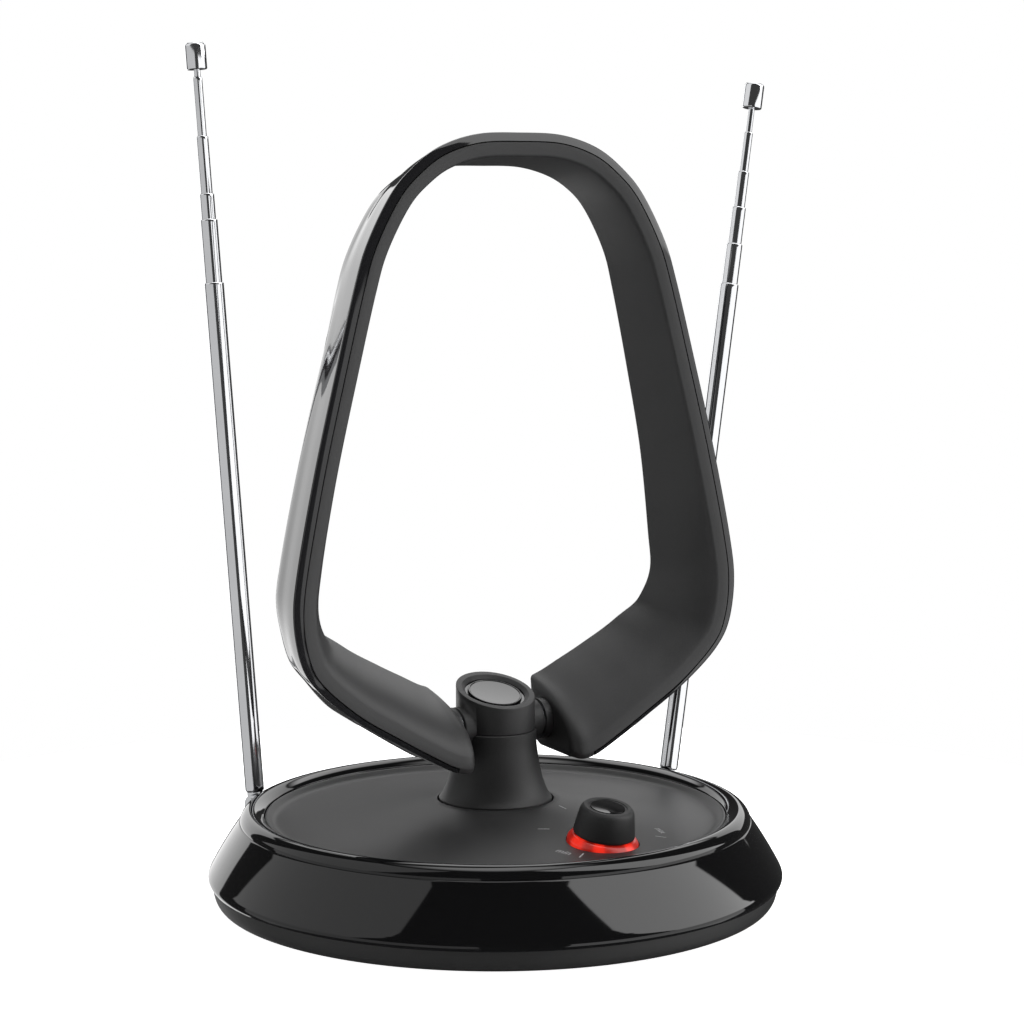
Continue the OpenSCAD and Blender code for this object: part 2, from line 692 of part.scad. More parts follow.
module inner_tube(side, k) {
  out = side < 0 ? left_out : right_out;
  d = tube_d - k * tube_step;
  top = tube_foot + tube_len + sum_to(out, k);
  long = inner_len[k - 1];
  rod_axis(side) difference() {
    translate([0, 0, top - long]) cylinder(d = d, h = long, $fn = small);
    translate([0, 0, top - long + (k == 5 ? long - 8 : 1)])
      cylinder(d = d - 2 * tube_wall, h = long, $fn = small);
  }
}

module tip(side) {
  out = side < 0 ? left_out : right_out;
  low = tube_foot + tube_len + sum_to(out, 5);
  d = tube_d - 5 * tube_step;
  rod_axis(side) translate([0, 0, low]) {
    rotate_extrude($fn = small * 2) polygon([
      [0, 0.1], [cap_d / 2 - 0.5, 0.1], [cap_d / 2, 0.6], [cap_d / 2, cap_h - 1.4],
      [cap_d / 2 - 0.6, cap_h - 0.4], [cap_d / 2 - 1.5, cap_h], [0, cap_h]
    ]);
    translate([0, 0, -7]) cylinder(d = d - 2 * tube_wall - 0.1, h = 7.2, $fn = small);
  }
}

module fork_left() { color("#9fa2a5") fork(-1); }

module fork_right() { color("#9fa2a5") fork(1); }

module rivet_left() { color("#c5c8ca") rivet(-1); }

module rivet_right() { color("#c5c8ca") rivet(1); }

module tube_left_1() { color("#d9dcdf") outer_tube(-1); }

module tube_left_2() { color("#d9dcdf") inner_tube(-1, 1); }

module tube_left_3() { color("#d9dcdf") inner_tube(-1, 2); }

module tube_left_4() { color("#d9dcdf") inner_tube(-1, 3); }

module tube_left_5() { color("#d9dcdf") inner_tube(-1, 4); }

module tube_left_6() { color("#d9dcdf") inner_tube(-1, 5); }

module tip_left() { color("#d9dcdf") tip(-1); }

module tube_right_1() { color("#d9dcdf") outer_tube(1); }

module tube_right_2() { color("#d9dcdf") inner_tube(1, 1); }

module tube_right_3() { color("#d9dcdf") inner_tube(1, 2); }

module tube_right_4() { color("#d9dcdf") inner_tube(1, 3); }

module tube_right_5() { color("#d9dcdf") inner_tube(1, 4); }

module tube_right_6() { color("#d9dcdf") inner_tube(1, 5); }

module tip_right() { color("#d9dcdf") tip(1); }

bottom_tray();
skirt();
collar();
top_plate();
ballast_plate();
base_pad();
tray_screws();
circuit_board();
board_screws();
shield_can();
gain_pot();
light_ring();
leds();
rear_panel();
coax_socket();
coax_nut();
dc_jack();
swivel_bush();
swivel_washer();
rod_sockets();
stem();
head_cap();
head_disc();
stem_screws();
swivel_clip();
tilt_shaft();
shaft_nuts();
tilt_washers();
loop_cover();
loop_shell();
loop_element();
knuckle_left();
knuckle_right();
knob();
knob_disc();
pot_shaft();
fork_left();
rivet_left();
tube_left_1();
tube_left_2();
tube_left_3();
tube_left_4();
tube_left_5();
tube_left_6();
tip_left();
fork_right();
rivet_right();
tube_right_1();
tube_right_2();
tube_right_3();
tube_right_4();
tube_right_5();
tube_right_6();
tip_right();
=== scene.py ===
"""Looks of an indoor television antenna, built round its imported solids.

The file is laid out as an add-on: sizes and colours are properties, each group of
pieces has its operator, and main() calls the operators in order.
"""

import math

import bmesh
import bpy
from bpy.props import FloatProperty, FloatVectorProperty, PointerProperty
from mathutils import Matrix, Vector


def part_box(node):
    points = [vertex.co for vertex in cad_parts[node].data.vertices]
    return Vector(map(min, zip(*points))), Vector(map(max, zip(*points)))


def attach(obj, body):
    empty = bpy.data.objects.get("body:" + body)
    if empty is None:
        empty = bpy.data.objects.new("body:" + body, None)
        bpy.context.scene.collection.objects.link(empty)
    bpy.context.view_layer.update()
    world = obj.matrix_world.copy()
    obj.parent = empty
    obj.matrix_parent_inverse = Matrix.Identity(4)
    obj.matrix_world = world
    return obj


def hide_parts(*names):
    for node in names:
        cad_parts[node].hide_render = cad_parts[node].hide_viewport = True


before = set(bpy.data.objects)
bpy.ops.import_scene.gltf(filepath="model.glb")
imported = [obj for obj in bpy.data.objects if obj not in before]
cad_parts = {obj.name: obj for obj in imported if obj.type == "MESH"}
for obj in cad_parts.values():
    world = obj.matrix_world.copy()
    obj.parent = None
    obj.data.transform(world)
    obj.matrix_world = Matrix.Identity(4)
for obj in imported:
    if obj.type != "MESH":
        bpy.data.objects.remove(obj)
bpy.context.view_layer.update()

bl_info = {
    "name": "Indoor antenna looks",
    "version": (1, 0, 0),
    "blender": (4, 5, 0),
    "location": "3D View > Sidebar > Antenna",
    "description": "Builds the visible pieces and finishes of an indoor antenna",
    "category": "Object",
}

MM = 0.001
CAMERA_YAW = math.radians(13.7)
CAMERA_PITCH = math.radians(83.116)
CAMERA_AT = (-0.1864, -0.7860, 0.2162)
CAMERA_LENS = 94.92
FLOOR_RADIUS = 270
# Light from the room, the wall behind the camera's view and the ceiling
ROOM_LIGHT, BACK_LIGHT, CEILING_LIGHT = 0.06, 3, 3.6
# Soft boxes: from and to around the object in degrees (0 towards the camera, negative
# to its left), from and to in height, brightness, and the lean as the box rises
SOFT_BOXES = (
    (-125.5, -57, 8, 62, 0.95, 0.5), (-113, -6, -34, 8, 0.66, 0.0),
    (75, 122.6, 8, 66, 3.6, -0.8), (29, 113, -34, 8, 1.5, 0.0),
    (-167, -137, -34, 30, 1.8, 0.0), (142, 178, 8, 30, 1.7, 0.0),
)


def width_of(node, axis=0):
    """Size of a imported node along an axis, in metres."""
    low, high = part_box(node)
    return high[axis] - low[axis]


# Properties

LENGTH = {"subtype": "DISTANCE", "unit": "LENGTH"}
ANGLE = {"subtype": "ANGLE", "unit": "ROTATION"}
COLOUR = {"size": 3, "subtype": "COLOR", "min": 0, "max": 1}


class BaseSizes(bpy.types.PropertyGroup):
    radius: FloatProperty(
        name="Radius", description="Radius of the skirt's lower edge",
        default=width_of("skirt") / 2, **LENGTH)
    height: FloatProperty(
        name="Height", description="Height of the collar's crest above the table",
        default=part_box("collar")[1][2], **LENGTH)
    tray_height: FloatProperty(
        name="Tray height", description="Height of the tray's upper edge",
        default=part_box("bottom_tray")[1][2], **LENGTH)
    plate_radius: FloatProperty(
        name="Plate radius", description="Radius of the top plate",
        default=width_of("top_plate") / 2, **LENGTH)
    plate_rise: FloatProperty(
        name="Plate rise", description="Height of the plate's crown above its trough",
        default=0.006, **LENGTH)
    pad_radius: FloatProperty(
        name="Pad radius", description="Radius of the rubber pad under the base",
        default=width_of("base_pad") / 2, **LENGTH)


class StemSizes(bpy.types.PropertyGroup):
    foot_radius: FloatProperty(
        name="Foot radius", description="Radius of the stem where it meets the plate",
        default=0.0172, **LENGTH)
    waist_radius: FloatProperty(
        name="Waist radius", description="Radius of the stem below the head cap",
        default=0.0125, **LENGTH)
    head_radius: FloatProperty(
        name="Head radius", description="Radius of the head cap",
        default=0.012, **LENGTH)
    pivot_height: FloatProperty(
        name="Pivot height", description="Height of the tilt axis above the table",
        default=0.054, **LENGTH)
    turn: FloatProperty(
        name="Turn", description="Turn of the head about the stem's axis",
        default=math.radians(17.8), **ANGLE)
    cut: FloatProperty(
        name="Cut", description="Slope of the head cap's cut top",
        default=math.radians(17.6), **ANGLE)


class LoopSizes(bpy.types.PropertyGroup):
    width: FloatProperty(
        name="Width", description="Width of the loop's front parting line",
        default=0.1478, **LENGTH)
    height: FloatProperty(
        name="Height", description="Height of the parting line above the tilt axis",
        default=0.1746, **LENGTH)
    depth: FloatProperty(
        name="Depth", description="Depth of the loop from front to back",
        default=0.0254, **LENGTH)
    front: FloatProperty(
        name="Front", description="Distance of the parting line in front of the axis",
        default=0.01885, **LENGTH)
    lean: FloatProperty(
        name="Lean", description="Backward lean of the loop at rest",
        default=math.radians(1.27), **ANGLE)
    facet: FloatProperty(
        name="Facet", description="Width of the flat facet beside the parting line",
        default=0.0042, **LENGTH)


class KnobSizes(bpy.types.PropertyGroup):
    radius: FloatProperty(
        name="Radius", description="Radius of the knob at its foot",
        default=0.0091, **LENGTH)
    height: FloatProperty(
        name="Height", description="Height of the knob",
        default=0.0086, **LENGTH)
    ring_height: FloatProperty(
        name="Ring height", description="Height of the light ring above the plate",
        default=0.0022, **LENGTH)
    distance: FloatProperty(
        name="Distance", description="Distance of the knob from the base's axis",
        default=0.0482, **LENGTH)
    direction: FloatProperty(
        name="Direction", description="Direction of the knob to the right of the front",
        default=math.radians(27.2), **ANGLE)
    tilt: FloatProperty(
        name="Tilt", description="Outward tilt of the knob's axis",
        default=math.radians(11), **ANGLE)


class RodSizes(bpy.types.PropertyGroup):
    tube_diameter: FloatProperty(
        name="Tube diameter", description="Outside diameter of the largest tube",
        default=0.006, **LENGTH)
    tube_step: FloatProperty(
        name="Tube step", description="Step in diameter from one tube to the next",
        default=0.0008, **LENGTH)
    tube_length: FloatProperty(
        name="Tube length", description="Length of the largest tube",
        default=0.160, **LENGTH)
    left_lean: FloatProperty(
        name="Left lean", description="Outward lean of the left rod",
        default=math.radians(4.2), **ANGLE)
    right_lean: FloatProperty(
        name="Right lean", description="Outward lean of the right rod",
        default=math.radians(10.4), **ANGLE)
    direction: FloatProperty(
        name="Direction", description="Direction of a rod's pivot from straight back",
        default=math.radians(58), **ANGLE)


class Colours(bpy.types.PropertyGroup):
    gloss: FloatVectorProperty(
        name="Gloss black", description="Colour of the glossy shells",
        default=(0.0035, 0.0035, 0.0038), **COLOUR)
    matte: FloatVectorProperty(
        name="Matte black", description="Colour of the matte plastic",
        default=(0.021, 0.021, 0.0215), **COLOUR)
    plate: FloatVectorProperty(
        name="Plate", description="Colour of the top plate",
        default=(0.023, 0.023, 0.0235), **COLOUR)
    chrome: FloatVectorProperty(
        name="Chrome", description="Colour of the plated tubes",
        default=(0.83, 0.84, 0.86), **COLOUR)
    glow: FloatVectorProperty(
        name="Glow", description="Colour of the light ring",
        default=(1.0, 0.03, 0.012), **COLOUR)
    glow_strength: FloatProperty(
        name="Glow strength", description="Brightness of the light ring",
        default=1.5, min=0)
    print_grey: FloatVectorProperty(
        name="Print", description="Colour of the printed marks",
        default=(0.5, 0.5, 0.51), **COLOUR)
    floor: FloatVectorProperty(
        name="Floor", description="Colour of the floor",
        default=(0.9, 0.9, 0.9), **COLOUR)


GROUPS = {
    "antenna_base": BaseSizes, "antenna_stem": StemSizes, "antenna_loop": LoopSizes,
    "antenna_knob": KnobSizes, "antenna_rods": RodSizes, "antenna_colours": Colours,
}


def sizes(group):
    """A property group of the scene."""
    return getattr(bpy.context.scene, group)


# Finishes

class Wire:
    """A value in a material: arithmetic on it adds Math nodes."""

    def __init__(self, finish, socket):
        self.finish = finish
        self.socket = socket

    def math(self, operation, *values):
        return self.finish.node("ShaderNodeMath", {"operation": operation}, values)

    def __add__(self, other):
        return self.math("ADD", self, other)

    def __sub__(self, other):
        return self.math("SUBTRACT", self, other)

    def __mul__(self, other):
        return self.math("MULTIPLY", self, other)

    def __radd__(self, other):
        return self.math("ADD", other, self)

    def __rsub__(self, other):
        return self.math("SUBTRACT", other, self)

    def __rmul__(self, other):
        return self.math("MULTIPLY", other, self)

    def between(self, low, high):
        """0 below low, 1 above high and a smooth step between."""
        return self.finish.node(
            "ShaderNodeMapRange", {"interpolation_type": "SMOOTHSTEP"},
            {"Value": self, "From Min": low, "From Max": high})

    def inside(self, low, high, soft):
        """1 between low and high and 0 outside, with soft edges."""
        return self.between(low - soft, low + soft) * (1 - self.between(high - soft, high + soft))


class Nodes:
    """A node tree to which nodes are added one by one."""

    def __init__(self, tree):
        self.tree = tree

    def join(self, value, socket):
        if isinstance(value, Wire):
            self.tree.links.new(value.socket, socket)
        elif socket.type == "RGBA" and len(value) == 3:
            socket.default_value = (*value, 1)
        else:
            socket.default_value = value

    def node(self, kind, settings=None, values=None, out=0):
        """Any node: its type, its settings, then its values or links by name or order."""
        node = self.tree.nodes.new(kind)
        for key, value in (settings or {}).items():
            setattr(node, key, value)
        pairs = values.items() if isinstance(values, dict) else enumerate(values or [])
        for key, value in pairs:
            self.join(value, node.inputs[key])
        return Wire(self, node.outputs[out]) if len(node.outputs) else node

    def blend(self, mask, dark, light):
        """Colour that goes from dark to light as the mask goes from 0 to 1."""
        return self.node(
            "ShaderNodeMix", {"data_type": "RGBA"}, {0: mask, 6: dark, 7: light}, 2)


class Finish(Nodes):
    """A material built on one principled shader."""

    def __init__(self, name, **constants):
        self.material = bpy.data.materials.new(name)
        self.material.use_nodes = True
        super().__init__(self.material.node_tree)
        self.shader = self.tree.nodes["Principled BSDF"]
        self.set(**constants)
        self.place = self.node("ShaderNodeTexCoord", out="Object")

    def set(self, **values):
        """Sets or links sockets of the shader: words of a name joined by _."""
        for key, value in values.items():
            self.join(value, self.shader.inputs[key.replace("_", " ")])

    def noise(self, scale, detail=2, rough=0.5, stretch=(1, 1, 1)):
        """Noise over the surface; scale in grains to the metre."""
        spot = self.node(
            "ShaderNodeMapping", None, {"Vector": self.place, "Scale": stretch})
        return self.node(
            "ShaderNodeTexNoise", None,
            {"Vector": spot, "Scale": scale, "Detail": detail, "Roughness": rough}, "Fac")

    def bump(self, height, distance, strength=1.0):
        """Feeds a height into the shader's normal; distance in metres."""
        self.set(Normal=self.node(
            "ShaderNodeBump", None,
            {"Height": height, "Distance": distance, "Strength": strength}, "Normal"))

    def across(self, axis):
        """One coordinate of the surface point, in metres."""
        return self.node("ShaderNodeSeparateXYZ", None, [self.place], axis)


def scaled(colour, factor):
    return tuple(min(1, c * factor) for c in colour[:3])


def gloss_finish(name, colour):
    """Injection moulded high gloss plastic: faint ripple, dust and wiping marks."""
    f = Finish(name, IOR=1.5)
    smear = f.noise(28, 3, 0.6, (1, 1, 2.4))
    dust = f.noise(2600, 2, 0.7).between(0.66, 0.78)
    f.set(Base_Color=f.blend(dust * 0.25, colour, scaled(colour, 9)))
    f.set(Roughness=0.035 + smear.between(0.45, 0.85) * 0.03 + dust * 0.1)
    f.bump(f.noise(30, 1, 0.3), 0.00003, 0.3)
    return f.material


def matte_finish(name, colour, grain=3200, rough=0.5, depth=0.00006):
    """Spark eroded matte plastic: fine even grain and a slightly uneven sheen."""
    f = Finish(name, IOR=1.48)
    fine = f.noise(grain, 3, 0.65)
    broad = f.noise(42, 3, 0.55)
    tone = fine.between(0.35, 0.7) * 0.6 + broad.between(0.3, 0.7) * 0.4
    f.set(Base_Color=f.blend(tone, scaled(colour, 0.86), scaled(colour, 1.16)))
    f.set(Roughness=rough - 0.05 + fine * 0.08 + broad * 0.05)
    f.bump(fine, depth, 0.55)
    return f.material


def metal_finish(name, colour, rough=0.12, scale=900, stretch=(1, 1, 0.06), depth=0.00001):
    """Plated metal with fine drawn lines and a few duller patches."""
    f = Finish(name, Metallic=1.0)
    lines = f.noise(scale, 3, 0.6, stretch)
    patch = f.noise(60, 3, 0.6)
    f.set(Base_Color=f.blend(patch.between(0.3, 0.75), scaled(colour, 0.94), colour))
    f.set(Roughness=rough + lines * 0.05 + patch.between(0.5, 0.8) * 0.04)
    f.bump(lines, depth, 0.3)
    return f.material


def rubber_finish(name, colour):
    f = Finish(name, IOR=1.45)
    grain = f.noise(1500, 3, 0.7)
    scuff = f.noise(70, 4, 0.6).between(0.55, 0.75)
    f.set(Base_Color=f.blend(scuff * 0.6, colour, scaled(colour, 2.2)))
    f.set(Roughness=0.78 + grain * 0.12)
    f.bump(grain, 0.0001, 0.6)
    return f.material


def board_finish(name):
    """Solder resist over copper traces and ground planes."""
    f = Finish(name, IOR=1.5)
    cells = f.node(
        "ShaderNodeTexVoronoi", {"feature": "DISTANCE_TO_EDGE", "distance": "EUCLIDEAN"},
        {"Vector": f.place, "Scale": 260}, "Distance")
    trace = 1 - cells.between(0.05, 0.08)
    pads = f.node("ShaderNodeTexVoronoi", None, {"Vector": f.place, "Scale": 330}, "Distance")
    tinned = 1 - pads.between(0.1, 0.13)
    green = f.blend(trace, (0.008, 0.075, 0.024), (0.02, 0.16, 0.05))
    f.set(Base_Color=f.blend(tinned, green, (0.55, 0.56, 0.55)))
    f.set(Metallic=tinned * 0.9, Roughness=0.32 + tinned * 0.1)
    f.bump(trace * 0.5 + tinned, 0.00005, 0.5)
    return f.material


def lens_finish(name, colour, strength):
    """Red light guide, brighter above the lamps."""
    f = Finish(name, IOR=1.49, Roughness=0.28, Emission_Strength=strength)
    seat = knob_place().translation * MM
    x = f.across("X") - seat.x
    y = f.across("Y") - seat.y
    angle = f.node("ShaderNodeMath", {"operation": "ARCTAN2"}, [y, x])
    heat = 0
    for at, wide in ((-2.7, 0.3), (-0.93, 0.2), (-1.95, 0.2)):
        gap = angle.math("ABSOLUTE", angle.math("WRAP", angle - at, math.pi, -math.pi))
        heat = (1 - gap.between(wide * 0.35, wide * 1.5)) * 0.25 + heat
    speckle = f.noise(900, 2, 0.5)
    heat = heat * (0.85 + speckle * 0.3)
    f.set(Base_Color=f.blend(speckle, (0.45, 0.008, 0.004), (0.62, 0.02, 0.01)))
    f.set(Emission_Color=f.blend(heat.between(0, 0.6), scaled(colour, 0.07), colour))
    f.bump(speckle, 0.00003, 0.3)
    return f.material


def print_finish(name, colour):
    f = Finish(name, IOR=1.45)
    wear = f.noise(2200, 3, 0.6)
    f.set(Base_Color=f.blend(wear.between(0.3, 0.7), scaled(colour, 0.7), colour))
    f.set(Roughness=0.5 + wear * 0.2)
    return f.material


def floor_finish(name, colour):
    """Plain pale floor, lit a little from within so that it stays near white."""
    f = Finish(name, IOR=1.2, Roughness=0.9, Emission_Strength=1.0)
    cloud = f.noise(2.0, 2, 0.5)
    f.set(Base_Color=f.blend(cloud, scaled(colour, 0.98), colour))
    f.set(Emission_Color=f.blend(cloud, (0.98, 0.98, 0.98), (1, 1, 1)))
    return f.material


MADE = {}


def finish(name):
    """A finish by name, made once."""
    if name not in MADE:
        c = sizes("antenna_colours")
        makers = {
            "gloss_black": lambda: gloss_finish(name, c.gloss[:]),
            "gloss_cover": lambda: gloss_finish(name, scaled(c.gloss, 4)),
            "matte_black": lambda: matte_finish(name, c.matte[:]),
            "plate_black": lambda: matte_finish(name, c.plate[:], 3600, 0.47),
            "tray_black": lambda: matte_finish(name, scaled(c.matte, 0.55), 2400, 0.55),
            "charcoal": lambda: matte_finish(name, scaled(c.matte, 1.25), 3000, 0.46),
            "rubber": lambda: rubber_finish(name, (0.012, 0.012, 0.012)),
            "chrome": lambda: metal_finish(name, c.chrome[:], 0.05, depth=0.000002),
            "steel": lambda: metal_finish(name, (0.56, 0.57, 0.58), 0.28, 1400),
            "zinc": lambda: metal_finish(
                name, (0.68, 0.70, 0.74), 0.22, 700, (1, 1, 1), 0.00003),
            "brass": lambda: metal_finish(name, (0.80, 0.62, 0.30), 0.2, 900, (1, 0.06, 1)),
            "white_plastic": lambda: matte_finish(name, (0.55, 0.55, 0.52), 1800, 0.4),
            "board": lambda: board_finish(name),
            "lens": lambda: lens_finish(name, c.glow[:], c.glow_strength),
            "lamp": lambda: matte_finish(name, (0.75, 0.70, 0.56), 1600, 0.25),
            "print": lambda: print_finish(name, c.print_grey[:]),
            "floor": lambda: floor_finish(name, c.floor[:]),
        }
        MADE[name] = makers[name]()
    return MADE[name]


# Shapes

def turn(axis, degrees):
    return Matrix.Rotation(math.radians(degrees), 4, axis)


def shift(x, y, z):
    return Matrix.Translation((x, y, z))


def mix(a, b, t):
    return a + (b - a) * t


def clamp01(v):
    return min(1.0, max(0.0, v))


def bent(a, b, c, t):
    """Point of the curve from a to c that is drawn towards b."""
    return tuple(
        p * (1 - t) ** 2 + q * 2 * t * (1 - t) + r * t * t for p, q, r in zip(a, b, c))


def blend4(a, b, c, d, t):
    """Smooth curve from b to c; a and d are the points on either side."""
    return tuple(
        0.5 * (2 * q + (r - p) * t + (2 * p - 5 * q + 4 * r - s) * t * t
               + (3 * q - p - 3 * r + s) * t ** 3)
        for p, q, r, s in zip(a, b, c, d))


def smooth_line(points, steps):
    """The same line with steps points between each two."""
    line = []
    for k in range(len(points) - 1):
        a = points[max(0, k - 1)]
        d = points[min(len(points) - 1, k + 2)]
        line += [blend4(a, points[k], points[k + 1], d, i / steps) for i in range(steps)]
    return line + [tuple(points[-1])]


def rounded(points, radii, steps=5):
    """A closed outline whose corners listed in radii {index: radius} are rounded."""
    line = []
    for k, point in enumerate(points):
        radius = radii.get(k, 0)
        here = Vector(point)
        if radius:
            before = Vector(points[k - 1]) - here
            after = Vector(points[(k + 1) % len(points)]) - here
            start = here + before.normalized() * min(radius, before.length * 0.45)
            stop = here + after.normalized() * min(radius, after.length * 0.45)
            for i in range(steps + 1):
                t = i / steps
                line.append(tuple(
                    start * (1 - t) ** 2 + here * 2 * t * (1 - t) + stop * t * t))
        else:
            line.append(tuple(point))
    return line


def column(radius, low, high):
    """Outline of a plain cylinder, for lathe."""
    return [(0, low), (radius, low), (radius, high), (0, high)]


def lathe(profile, segments=192):
    """Points and faces of a closed (radius, height) outline turned about z."""
    points, faces, rows = [], [], []
    for r, z in profile:
        if r < 1e-6:
            rows.append([len(points)] * segments)
            points.append((0, 0, z))
        else:
            start = len(points)
            rows.append(list(range(start, start + segments)))
            for i in range(segments):
                a = 2 * math.pi * i / segments
                points.append((r * math.cos(a), r * math.sin(a), z))
    for k, row in enumerate(rows):
        below = rows[(k + 1) % len(rows)]
        if row[0] == row[1] and below[0] == below[1]:
            continue
        for i in range(segments):
            j = (i + 1) % segments
            face = [row[i], row[j], below[j], below[i]]
            face = [v for n, v in enumerate(face) if v != face[n - 1]]
            if len(face) > 2:
                faces.append(face)
    return points, faces


def sweep(rings):
    """Points and faces of a solid through rings with equal counts, closed at its ends."""
    n = len(rings[0])
    points = [p for ring in rings for p in ring]
    faces = [
        [j * n + i, j * n + (i + 1) % n, (j + 1) * n + (i + 1) % n, (j + 1) * n + i]
        for j in range(len(rings) - 1) for i in range(n)]
    faces.append(list(range(n - 1, -1, -1)))
    faces.append([(len(rings) - 1) * n + i for i in range(n)])
    return points, faces


def bar(x0, x1, y0, y1, z0, z1):
    """Points and faces of a bar between two corners."""
    points = [(x, y, z) for z in (z0, z1) for y in (y0, y1) for x in (x0, x1)]
    faces = [[0, 2, 3, 1], [4, 5, 7, 6], [0, 1, 5, 4],
             [2, 6, 7, 3], [0, 4, 6, 2], [1, 3, 7, 5]]
    return points, faces


def piece(name, shapes, place=None):
    """An object from (points, faces) in mm; place puts it in the row frame."""
    place = place or Matrix.Identity(4)
    points, faces = [], []
    for shape_points, shape_faces in shapes if isinstance(shapes, list) else [shapes]:
        start = len(points)
        points += [(place @ Vector(p)) * MM for p in shape_points]
        faces += [[v + start for v in face] for face in shape_faces]
    mesh = bpy.data.meshes.new(name)
    mesh.from_pydata(points, [], faces)
    work = bmesh.new()
    work.from_mesh(mesh)
    bmesh.ops.recalc_face_normals(work, faces=work.faces)
    work.to_mesh(mesh)
    work.free()
    made = bpy.data.objects.new(name, mesh)
    bpy.context.scene.collection.objects.link(made)
    return made


def settle(made):
    """Applies the modifiers of a piece to its mesh."""
    bpy.context.view_layer.update()
    graph = bpy.context.evaluated_depsgraph_get()
    mesh = bpy.data.meshes.new_from_object(made.evaluated_get(graph))
    made.modifiers.clear()
    made.data = mesh
    return made


def cut(made, *cutters, operation="DIFFERENCE"):
    """Cuts other pieces out of a piece, or joins them to it, and removes them."""
    for cutter in cutters:
        tool = made.modifiers.new("cut", "BOOLEAN")
        tool.operation = operation
        tool.solver = "EXACT"
        tool.object = cutter
    settle(made)
    if not made.data.polygons:
        raise RuntimeError(f"{made.name} is empty after a cut")
    for cutter in cutters:
        bpy.data.objects.remove(cutter)
    return made


def soften(made, width, segments=3, angle=35):
    """Rounds the sharp edges of a piece; width in mm."""
    tool = made.modifiers.new("soften", "BEVEL")
    tool.width = width * MM
    tool.segments = segments
    tool.limit_method = "ANGLE"
    tool.angle_limit = math.radians(angle)
    return settle(made)


def dress(made, finish_name, body, slot, *nodes, angle=32):
    """Shades a piece, gives it its finish and puts it on its body in place of nodes."""
    made.data.shade_smooth()
    made.data.set_sharp_from_angle(angle=math.radians(angle))
    made.data.materials.clear()
    made.data.materials.append(finish(finish_name))
    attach(made, body)
    if nodes:
        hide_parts(*nodes)
    return made


# Places, in mm

def mm(value):
    return value / MM


def groove():
    """Radius and height of the groove under the collar."""
    b = sizes("antenna_base")
    return mm(b.plate_radius) + 7.95, mm(b.height) - 3.75


def plate_z(r):
    """Height of the top plate's surface at a distance from the axis."""
    b = sizes("antenna_base")
    trough_z = groove()[1]
    trough_r = mm(b.plate_radius) - 4
    crown_r = mm(sizes("antenna_stem").foot_radius) + 0.8
    share = max(0.0, (trough_r - r) / (trough_r - crown_r))
    return trough_z + mm(b.plate_rise) * share ** 1.7


def turned():
    return turn("Z", math.degrees(sizes("antenna_stem").turn))


def tilt_axis():
    """Turns z along the axis on which the loop tilts."""
    return turned() @ shift(0, 0, mm(sizes("antenna_stem").pivot_height)) @ turn("Y", 90)


def loop_place():
    lean = math.degrees(sizes("antenna_loop").lean)
    return turned() @ shift(0, 0, mm(sizes("antenna_stem").pivot_height)) @ turn("X", -lean)


def knob_place():
    k = sizes("antenna_knob")
    at = mm(k.distance)
    return (turn("Z", math.degrees(k.direction) - 90) @ shift(at, 0, plate_z(at))
            @ turn("Y", math.degrees(k.tilt)))


def rod_foot(side):
    groove_r, groove_z = groove()
    return (turn("Z", 90 - side * math.degrees(sizes("antenna_rods").direction))
            @ shift(groove_r + 1.75, 0, groove_z - 1))


def rod_axis(side):
    r = sizes("antenna_rods")
    return rod_foot(side) @ turn("Y", math.degrees(r.left_lean if side < 0 else r.right_lean))


def well_cutters():
    """Round wells that the rods' feet stand in."""
    return [
        piece("well", lathe(column(4.4, -40, 30), 64), rod_foot(side))
        for side in (-1, 1)]


# Operators

class ANTENNA_OT_stage(bpy.types.Operator):
    """Floor, soft boxes, surroundings and camera"""

    bl_idname = "antenna.stage"
    bl_label = "Stage"

    def execute(self, context):
        scene = context.scene
        scene.view_settings.view_transform = "Standard"
        rim = [turn("Z", a) @ Vector((FLOOR_RADIUS, 0, 0)) for a in range(0, 360, 3)]
        floor = piece("floor", (rim, [list(range(len(rim)))]))
        floor.data.materials.append(finish("floor"))
        floor.visible_glossy = False
        self.surroundings(scene)
        eye = bpy.data.cameras.new("camera")
        eye.lens = CAMERA_LENS
        camera = bpy.data.objects.new("camera", eye)
        camera.location = CAMERA_AT
        camera.rotation_euler = (CAMERA_PITCH, 0, -CAMERA_YAW)
        scene.collection.objects.link(camera)
        scene.camera = camera
        return {"FINISHED"}

    def surroundings(self, scene):
        """A dark room with soft boxes and a white back wall; the camera sees plain white."""
        world = bpy.data.worlds.new("surroundings")
        world.use_nodes = True
        world.node_tree.nodes.clear()
        n = Nodes(world.node_tree)
        way = n.node("ShaderNodeTexCoord", out="Generated")
        x, y, z = (n.node("ShaderNodeSeparateXYZ", None, [way], axis) for axis in "XYZ")
        c, s = math.cos(CAMERA_YAW), math.sin(CAMERA_YAW)
        degree = 180 / math.pi
        around = x.math("ARCTAN2", x * c - y * s, x * -s - y * c) * degree
        up = z.math("ARCSINE", z) * degree
        light = ROOM_LIGHT
        for left, right, low, high, level, tilt in SOFT_BOXES:
            across = (around - (up - low) * tilt).inside(left, right, 0.5)
            light = across * up.inside(low, high, 0.6) * level + light
        back = around.math("ABSOLUTE", around).between(148, 154)
        light = back * up.between(30, 36) * (1 - up.between(54, 62)) * BACK_LIGHT + light
        light = up.between(64, 80) * CEILING_LIGHT + light
        room = n.node("ShaderNodeBackground", None, {"Strength": light})
        white = n.node("ShaderNodeBackground", None, {"Color": (1, 1, 1)})
        seen = n.node("ShaderNodeLightPath", out="Is Camera Ray")
        pick = n.node("ShaderNodeMixShader", None, [seen, room, white])
        n.node("ShaderNodeOutputWorld", None, {"Surface": pick})
        scene.world = world


